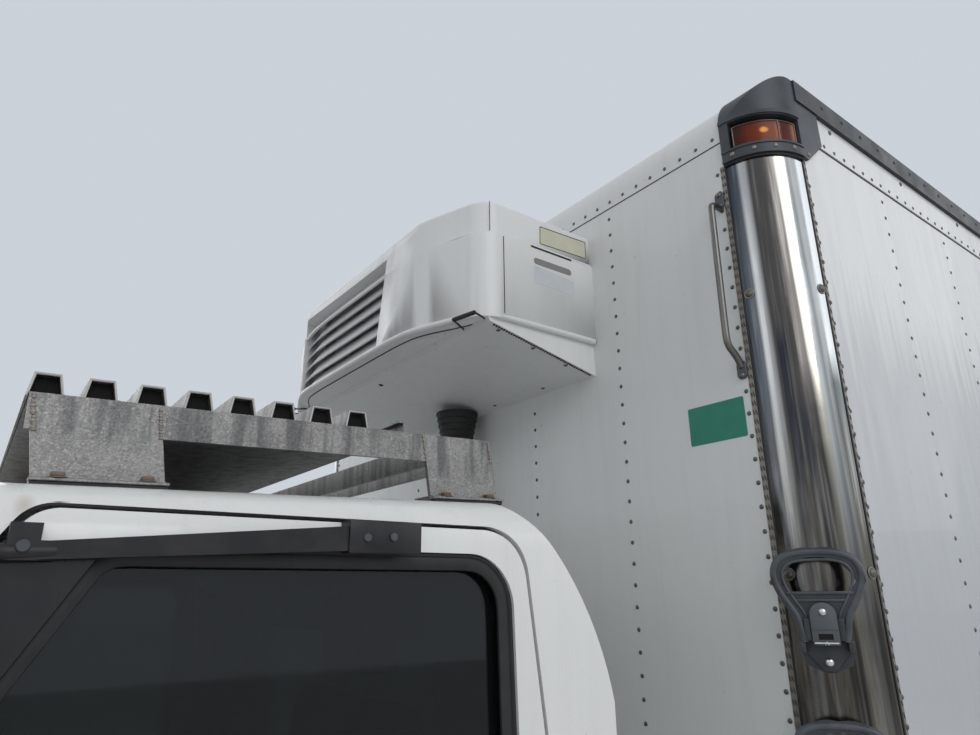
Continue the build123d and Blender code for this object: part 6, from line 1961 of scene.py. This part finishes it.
class TRUCK_OT_rear_end(bpy.types.Operator):
    """Door seals, lock rod cams, hinge bolts, lamp rings, marking strips and rear bumper parts"""

    bl_idname = "truck.rear_end"
    bl_label = "Rear end"

    def execute(self, context):
        x, doors = REAR, ("rear_door_left", "rear_door_right")
        y0, y1, z0, z1 = 0.004, 1.158, 1.216, 3.36
        seal = slabs([((x - 0.0045, y0, z), (x + 0.002, y1, z + 0.018)) for z in (z0, z1 - 0.018)], 0.002, 2)
        seal += slabs([((x - 0.0045, y, z0), (x + 0.002, y + 0.018, z1)) for y in (y0, y1 - 0.018)], 0.002, 2)
        pair("rear_door_seal", seal, "black_rubber", doors)
        cams, bolts = [], []
        for z, s in ((1.236, -1), (3.34, 1)):
            cams.append(
                slab((x - 0.0385, 0.308, min(z, z - s * 0.03)), (x - 0.0085, 0.352, max(z, z - s * 0.03)), 0.004, 2))
            cams.append(
                slab(
                    (x - 0.0375, 0.349, z - 0.012 if s > 0 else z), (x - 0.016, 0.372, z if s > 0 else z + 0.012),
                    0.003, 2))
        for z in (1.276, 1.776, 2.516, 3.3):
            bolts += [(x - 0.0245, y, z) for y in (0.307, 0.353)]
            cams.append(
                turned(
                    [(0.0135, -0.016), (0.0185, -0.014), (0.0185, 0.014), (0.0135, 0.016)], (x - 0.024, 0.33, z), UP,
                    AHEAD, 20))
        pair("lock_cams", cams, "bolt_steel", doors, "handle_steel")
        grip = [slab((x - 0.0345, 0.058, 1.5045), (x - 0.0155, 0.17, 1.5275), 0.006, 3)]
        grip += slabs(
            [
                ((x - 0.0285, 0.062, 1.482), (x - 0.0005, 0.072, 1.556)),
                ((x - 0.0285, 0.098, 1.482), (x - 0.0005, 0.108, 1.556))],
            0.002, 2)
        pair("lock_handles", grip, "bright_steel", doors, "handle_steel")
        for z in (1.33, 1.97, 2.61, 3.25):
            bolts += [(x - 0.0118, y, z + dz) for y in (1.01, 1.06, 1.12) for dz in (-0.022, 0.022)]
        pair("rear_door_bolts", heads(bolts, BACK, 0.0085, 0.005, 10), "bolt_steel", doors, "handle_steel")
        keepers = slabs([((x - 0.034, 0.296, z), (x + 0.001, 0.304, z + 0.04)) for z in (1.16, 3.376)], 0.002, 2)
        keepers += slabs([((x - 0.034, 0.356, z), (x + 0.001, 0.364, z + 0.04)) for z in (1.16, 3.376)], 0.002, 2)
        keepers += slabs([((x - 0.003, 0.28, z), (x + 0.001, 0.38, z + 0.044)) for z in (1.158, 3.374)], 0.002, 2)
        pair("lock_keepers", keepers, "bolt_steel", slot="rear_frame_steel")
        strips = {"tape_red": [], "label_pale": []}
        for k in range(4):
            finish = "tape_red" if k % 2 == 0 else "label_pale"
            strips[finish].append(
                slab((x - 0.0012, 0.03 + 0.272 * k, 1.29), (x + 0.0005, 0.296 + 0.272 * k if k < 3 else 1.12, 1.34), 0))
        for finish, shapes in strips.items():
            pair(f"rear_{finish}", shapes, finish, doors, "box_skin")
        corner = slabs(
            [
                ((x - 0.0012, 0.9, 3.425), (x + 0.0005, 1.2, 3.465)),
                ((x - 0.0012, 1.172, 3.08), (x + 0.0005, 1.212, 3.335))],
            0)
        pair("rear_corner_marks", corner, "label_pale", slot="rear_frame_steel")
        rivet = domed(0.0056, 0.003)
        rivets = row(rivet, (x - 0.0002, 0.04, 3.4), (0, 0.058, 0), 20, BACK)
        drop(rivet)
        pair("rear_frame_rivets", [rivets], "rivet_steel", slot="rear_frame_steel")
        rings, ribs = [], []
        for y in (1.08, 0.96):
            rings.append(
                turned([(0.0495, 0.0), (0.059, 0.0), (0.057, 0.012), (0.0495, 0.016)], (x, y, 1.08), BACK, UP, 36))
            ribs += [
                turned(
                    [(r0, -0.0005), (r0 + 0.0025, 0.0018), (r0 + 0.005, -0.0005)], (x - 0.024, y, 1.08), BACK, UP, 36)
                for r0 in (0.012, 0.024, 0.036)]
        pair("tail_lamp_rings", rings, "black_rubber")
        pair("tail_lamp_ribs", ribs, "red_lens", slot="lamp_plastic")
        frames = [
            slab((px - 0.062, SIDE + 0.0035, 1.131), (px + 0.062, SIDE + 0.0072, 1.179), 0.004, 2)
            for px in (0.0, -3.896)]
        pair("side_lamp_frames", frames, "dark_plastic")

        tag = plate_x(x - 0.031, rounded_box((-0.152, 0.58), (0.152, 0.7), 0.01, 3), -0.002, 0.0005)
        arm = slabs(
            [((x - 0.031, s * 0.11 - 0.012, 0.6), (x - 0.027, s * 0.11 + 0.012, 0.712)) for s in (-1, 1)], 0.001)
        piece("rear_blank_plate", [tag], "label_pale", slot="bumper_steel")
        piece("plate_brackets", arm, "black_steel")
        pads = [(-4.65 + 0.0025, y, z) for y in (0.94, 1.02) for z in (0.485, 0.585)]
        pair("dock_bumper_bolts", heads(pads, BACK, 0.011, 0.0024, 10), "bolt_steel", slot="black_steel")
        grit = [
            slab((x - 0.026 + 0.012 * k, -0.49, 0.7295), (x - 0.02 + 0.012 * k, 0.49, 0.7325), 0.0008) for k in range(8)
        ]
        piece("step_grip_bars", grit, "edge_metal", slot="black_steel")
        hook = wire(
            [(x + 0.012, 0.55, 0.755), (x - 0.022, 0.55, 0.775), (x - 0.026, 0.55, 0.88), (x + 0.012, 0.55, 0.905)],
            0.009, smooth=True)
        pair("rear_grab_bars", [hook], "handle_steel")
        flaps = heads([(-2.6685, y, 1.02) for y in (0.66, 0.78, 0.9, 1.02, 1.14)], BACK, 0.01, 0.005, 10)
        pair("mud_flap_bolts", flaps, "bolt_steel", slot="black_steel")
        weights = slab((-2.6675, 0.64, 0.345), (-2.6525, 1.19, 0.385), 0.003, 2)
        pair("mud_flap_bars", [weights], "edge_metal", slot="black_steel")
        return {"FINISHED"}


SPRING_Y = 0.397


class TRUCK_OT_undercarriage(bpy.types.Operator):
    """Tank straps and caps, air tanks, brake chambers, shackle bolts, exhaust and driveline parts"""

    bl_idname = "truck.undercarriage"
    bl_label = "Undercarriage"

    def execute(self, context):
        outline = rounded_box((0.557, 0.467), (0.953, 0.903), 0.072, 6)
        straps = []
        for x in (2.29, 2.76):
            strap = wire([(0, y, z) for y, z in outline], 0.0032, closed=True, sides=2)
            strap.data.transform(shift_by((x, 0, 0)) @ Matrix.Diagonal((7.0, 1, 1, 1)))
            straps.append(strap)
        pair("tank_straps", straps, "bright_steel", slot="bumper_steel")
        neck = turned(
            [(0.0, 0.0), (0.052, 0.0), (0.05, 0.014), (0.046, 0.018), (0.046, 0.034), (0.04, 0.04), (0.0, 0.041)],
            (2.48, 0.8, 0.899), UP, AHEAD, 24)
        bar = slab((2.44, 0.792, 0.936), (2.52, 0.808, 0.948), 0.003, 2)
        pair("tank_caps", [neck, bar], "dark_casting")
        seams = [wire([(x, y, z) for y, z in outline], 0.0042, closed=True, sides=1) for x in (2.1245, 2.9255)]
        pair("tank_end_seams", seams, "edge_metal", slot="tank_aluminium")
        grips = [
            slab((2.31 + 0.026 * k, 0.958, z - 0.0005), (2.322 + 0.026 * k, 1.126, z + 0.003), 0.001)
            for k in range(21)
            for z in (0.53, 0.82)]
        pair("tank_step_grips", grips, "edge_metal", slot="tank_aluminium")

        tanks = []
        x, z = -0.55, 0.8
        for y in (0.2, -0.2):
            end = [
                (0.0, -0.4), (0.06, -0.392), (0.105, -0.36), (0.115, -0.33), (0.115, 0.33), (0.105, 0.36),
                (0.06, 0.392), (0.0, 0.4)]
            tanks.append(turned(end, (x, y, z), AHEAD, UP, 32))
            tanks += [
                turned(
                    [(0.1155, d - 0.018), (0.1185, d - 0.018), (0.1185, d + 0.018), (0.1155, d + 0.018)], (x, y, z),
                    AHEAD, UP, 32)
                for d in (-0.22, 0.22)]
            tanks += slabs(
                [((x + d - 0.018, y - 0.03, z + 0.1), (x + d + 0.018, y + 0.03, 0.9795)) for d in (-0.22, 0.22)], 0.003)
        piece("air_tanks", tanks, "black_steel")
        cans = []
        for s in (1, -1):
            profile = [
                (0.0, 0.0), (0.07, 0.004), (0.084, 0.03), (0.084, 0.058), (0.092, 0.062), (0.092, 0.074),
                (0.084, 0.078), (0.084, 0.12), (0.07, 0.15), (0.0, 0.155)]
            cans.append(turned(profile, (-1.925, s * 0.52, 0.65), (1, 0, 0.25), LEFT, 28))
            cans.append(wire([(-1.93, s * 0.52, 0.65), (-1.955, s * 0.52, 0.64), (-1.97, s * 0.52, 0.56)], 0.014))
        piece("brake_chambers", cans, "black_steel")
        clips, nuts = [], []
        for axle, top, low in ((FRONT_AXLE[0], 0.516, 0.398), (REAR_AXLE[0], 0.65, 0.43)):
            for x in (axle - 0.052, axle + 0.052):
                for s in (1, -1):
                    y = s * SPRING_Y
                    clips.append(
                        wire(
                            [
                                (x, y - 0.048, low), (x, y - 0.048, top - 0.01), (x, y - 0.03, top), (x, y + 0.03, top),
                                (x, y + 0.048, top - 0.01), (x, y + 0.048, low)],
                            0.0095))
                    nuts += [(x, y + d, low + 0.002) for d in (-0.048, 0.048)]
        clips += slabs(
            [
                ((axle - 0.085, s * SPRING_Y - 0.062, z), (axle + 0.085, s * SPRING_Y + 0.062, z + 0.018))
                for axle, z in ((REAR_AXLE[0], 0.432), (REAR_AXLE[0], 0.64))
                for s in (1, -1)],
            0.004, 2)
        piece("spring_u_bolts", clips, "cast_iron")
        piece("spring_nuts", heads(nuts, DOWN, 0.016, 0.014), "bolt_steel", slot="cast_iron")
        leaves = []
        for x, z, span, rise in ((FRONT_AXLE[0], 0.466, 0.64, 0.134), (REAR_AXLE[0], 0.584, 0.7, 0.018)):
            for level in ((0.013, 0.027) if span < 0.65 else (0.014, 0.028, 0.042)):
                for s in (1, -1):
                    for y in (s * SPRING_Y - 0.0405, s * SPRING_Y + 0.0405):
                        path = [(x + span * t / 8, y, z + level + rise * (t / 8) ** 2) for t in range(-7, 8)]
                        leaves.append(wire(path, 0.0013, sides=0))
        # near-black lines paint the shade in the gaps between the spring leaves
        piece("spring_leaf_lines", leaves, "dark_void", slot="black_steel")
        shocks = []
        for x, low, high in ((3.4, 0.47, 0.76), (-2.21, 0.52, 0.8)):
            for s in (1, -1):
                y = s * 0.475
                shocks.append(wire([(x, y, low), (x - 0.02, y, (low + high) / 2)], 0.024))
                shocks.append(wire([(x - 0.018, y, (low + high) / 2 - 0.02), (x - 0.04, y, high)], 0.031))
        piece("shock_absorbers", shocks, "black_steel")
        pipe = [(2.6, -0.3, 0.7), (2.2, -0.31, 0.64), (1.6, -0.32, 0.62), (0.4, -0.32, 0.62)]
        can = turned(
            [(0.0, 0.0), (0.09, 0.0), (0.11, 0.02), (0.11, 0.88), (0.09, 0.9), (0.0, 0.9)], (0.35, -0.32, 0.62), AHEAD,
            UP, 32)
        tail = [(0.38, -0.32, 0.62), (-0.2, -0.32, 0.62), (-0.9, -0.34, 0.6), (-1.12, -0.46, 0.57), (-1.18, -0.7, 0.54)]
        piece("exhaust", [wire(pipe, 0.045, smooth=True), can, wire(tail, 0.045, smooth=True)], "cast_iron")
        joints = [
            turned(
                [(0.0505, -0.03), (0.062, -0.03), (0.066, 0.0), (0.062, 0.03), (0.0505, 0.03)], place, (1, 0, -0.063),
                LEFT, 24)
            for place in ((2.3, 0, 0.759), (0.35, 0, 0.634), (-1.66, 0, 0.508))]
        piece("shaft_couplings", joints, "cast_iron")
        cover = [
            (-2.1035, 0.175 * math.cos(math.radians(36 * k)), 0.506 + 0.175 * math.sin(math.radians(36 * k)))
            for k in range(10)]
        piece("axle_cover_bolts", heads(cover, BACK, 0.011, 0.008, 6), "bolt_steel", slot="cast_iron")
        return {"FINISHED"}


class TRUCK_OT_box_inside(bpy.types.Operator):
    """Ribbed floor, scuff boards, cold air outlet, ceiling duct and lamps inside the box"""

    bl_idname = "truck.box_inside"
    bl_label = "Box inside"

    def execute(self, context):
        x0, x1, wall = REAR + 0.09, 1.396, 1.124
        rib = slab((x0, -1.108, 1.2095), (x1, -1.088, 1.22), 0.0018)
        ribs = row(rib, ORIGIN, (0, 0.0443, 0), 50)
        drop(rib)
        piece("floor_ribs", [ribs], "floor_aluminium")
        scuffs = [
            slab((x0, wall, 1.222), (x1, 1.1295, 1.52), 0.003),
            slab((x0, wall - 0.004, 1.52), (x1, 1.1295, 1.536), 0.004, 2)]
        pair("scuff_boards", scuffs, "floor_aluminium")
        rails = [slab((x0, wall + 0.001, z), (x1, 1.1295, z + 0.075), 0.002) for z in (1.9, 2.5)]
        pair("load_rails", rails, "bolt_steel", slot="rear_frame_steel")
        # near-black strips paint the shade in the load rail slots
        slot = slab((x0 + 0.03, wall - 0.0008, 1.915), (x0 + 0.055, wall + 0.0015, 1.96), 0.0005)
        slots = row(slot, ORIGIN, (0.122, 0, 0), 46)
        slots = [slots, copied(slots, shift_by((0, 0, 0.6)))]
        drop(slot)
        pair("load_rail_slots", slots, "dark_void", slot="black_rubber")
        blower = plate_x(x1 + 0.002, rounded_box((-0.56, 2.9), (0.56, 3.3), 0.04), -0.18, 0.012, 3)
        with editing(blower):
            pick_faces(blower, lambda c, n: n.x < -0.9)
            bpy.ops.mesh.inset(thickness=0.045, depth=-0.03)
        piece("air_outlet", [blower], "unit_paint")
        fins = [
            slab((x1 - 0.176, -0.5, 2.962 + 0.031 * k), (x1 - 0.152, 0.5, 2.967 + 0.031 * k), 0.001) for k in range(10)]
        piece("air_outlet_fins", fins, "dark_plastic")
        duct = [slab((x0 + 0.6, -0.33, 3.36), (x1 - 0.185, 0.33, 3.379), 0.008, 2)]
        duct += [
            slab((x0 + 0.6, s * 0.33 - 0.008, 3.35), (x1 - 0.185, s * 0.33 + 0.008, 3.3815), 0.003) for s in (-1, 1)]
        piece("ceiling_duct", duct, "label_pale", slot="box_skin")
        lamps = [slab((x - 0.09, 0.62, 3.364), (x + 0.09, 0.7, 3.3815), 0.01, 3) for x in (-3.6, -1.6, 0.4)]
        pair("box_lamps", lamps, "clear_lens", slot="lamp_plastic")
        return {"FINISHED"}


class TRUCK_PT_panel(bpy.types.Panel):
    """Lists the truck's operators"""

    bl_idname = "TRUCK_PT_panel"
    bl_label = "Refrigerated Truck"
    bl_space_type = "VIEW_3D"
    bl_region_type = "UI"
    bl_category = "Truck"

    def draw(self, context):
        for operator in OPERATORS:
            self.layout.operator(operator.bl_idname)
        for group in (context.scene.truck_paint, context.scene.truck_stage):
            for key in group.__annotations__:
                self.layout.prop(group, key)


OPERATORS = (
    TRUCK_OT_stage,
    TRUCK_OT_finishes,
    TRUCK_OT_rivets,
    TRUCK_OT_box_trim,
    TRUCK_OT_corner_casting,
    TRUCK_OT_corner_steps,
    TRUCK_OT_cooling_unit,
    TRUCK_OT_roof_platform,
    TRUCK_OT_wheels,
    TRUCK_OT_cab_trim,
    TRUCK_OT_seats,
    TRUCK_OT_cab_inside,
    TRUCK_OT_cab_front,
    TRUCK_OT_rear_end,
    TRUCK_OT_undercarriage,
    TRUCK_OT_box_inside,
)
CLASSES = (TruckPaint, TruckStage, *OPERATORS, TRUCK_PT_panel)


def register():
    for cls in CLASSES:
        bpy.utils.register_class(cls)
    bpy.types.Scene.truck_paint = PointerProperty(type=TruckPaint)
    bpy.types.Scene.truck_stage = PointerProperty(type=TruckStage)


def unregister():
    del bpy.types.Scene.truck_stage
    del bpy.types.Scene.truck_paint
    for cls in reversed(CLASSES):
        bpy.utils.unregister_class(cls)


def main():
    register()
    for operator in OPERATORS:
        group, name = operator.bl_idname.split(".")
        getattr(getattr(bpy.ops, group), name)()


if __name__ == "__main__":
    main()
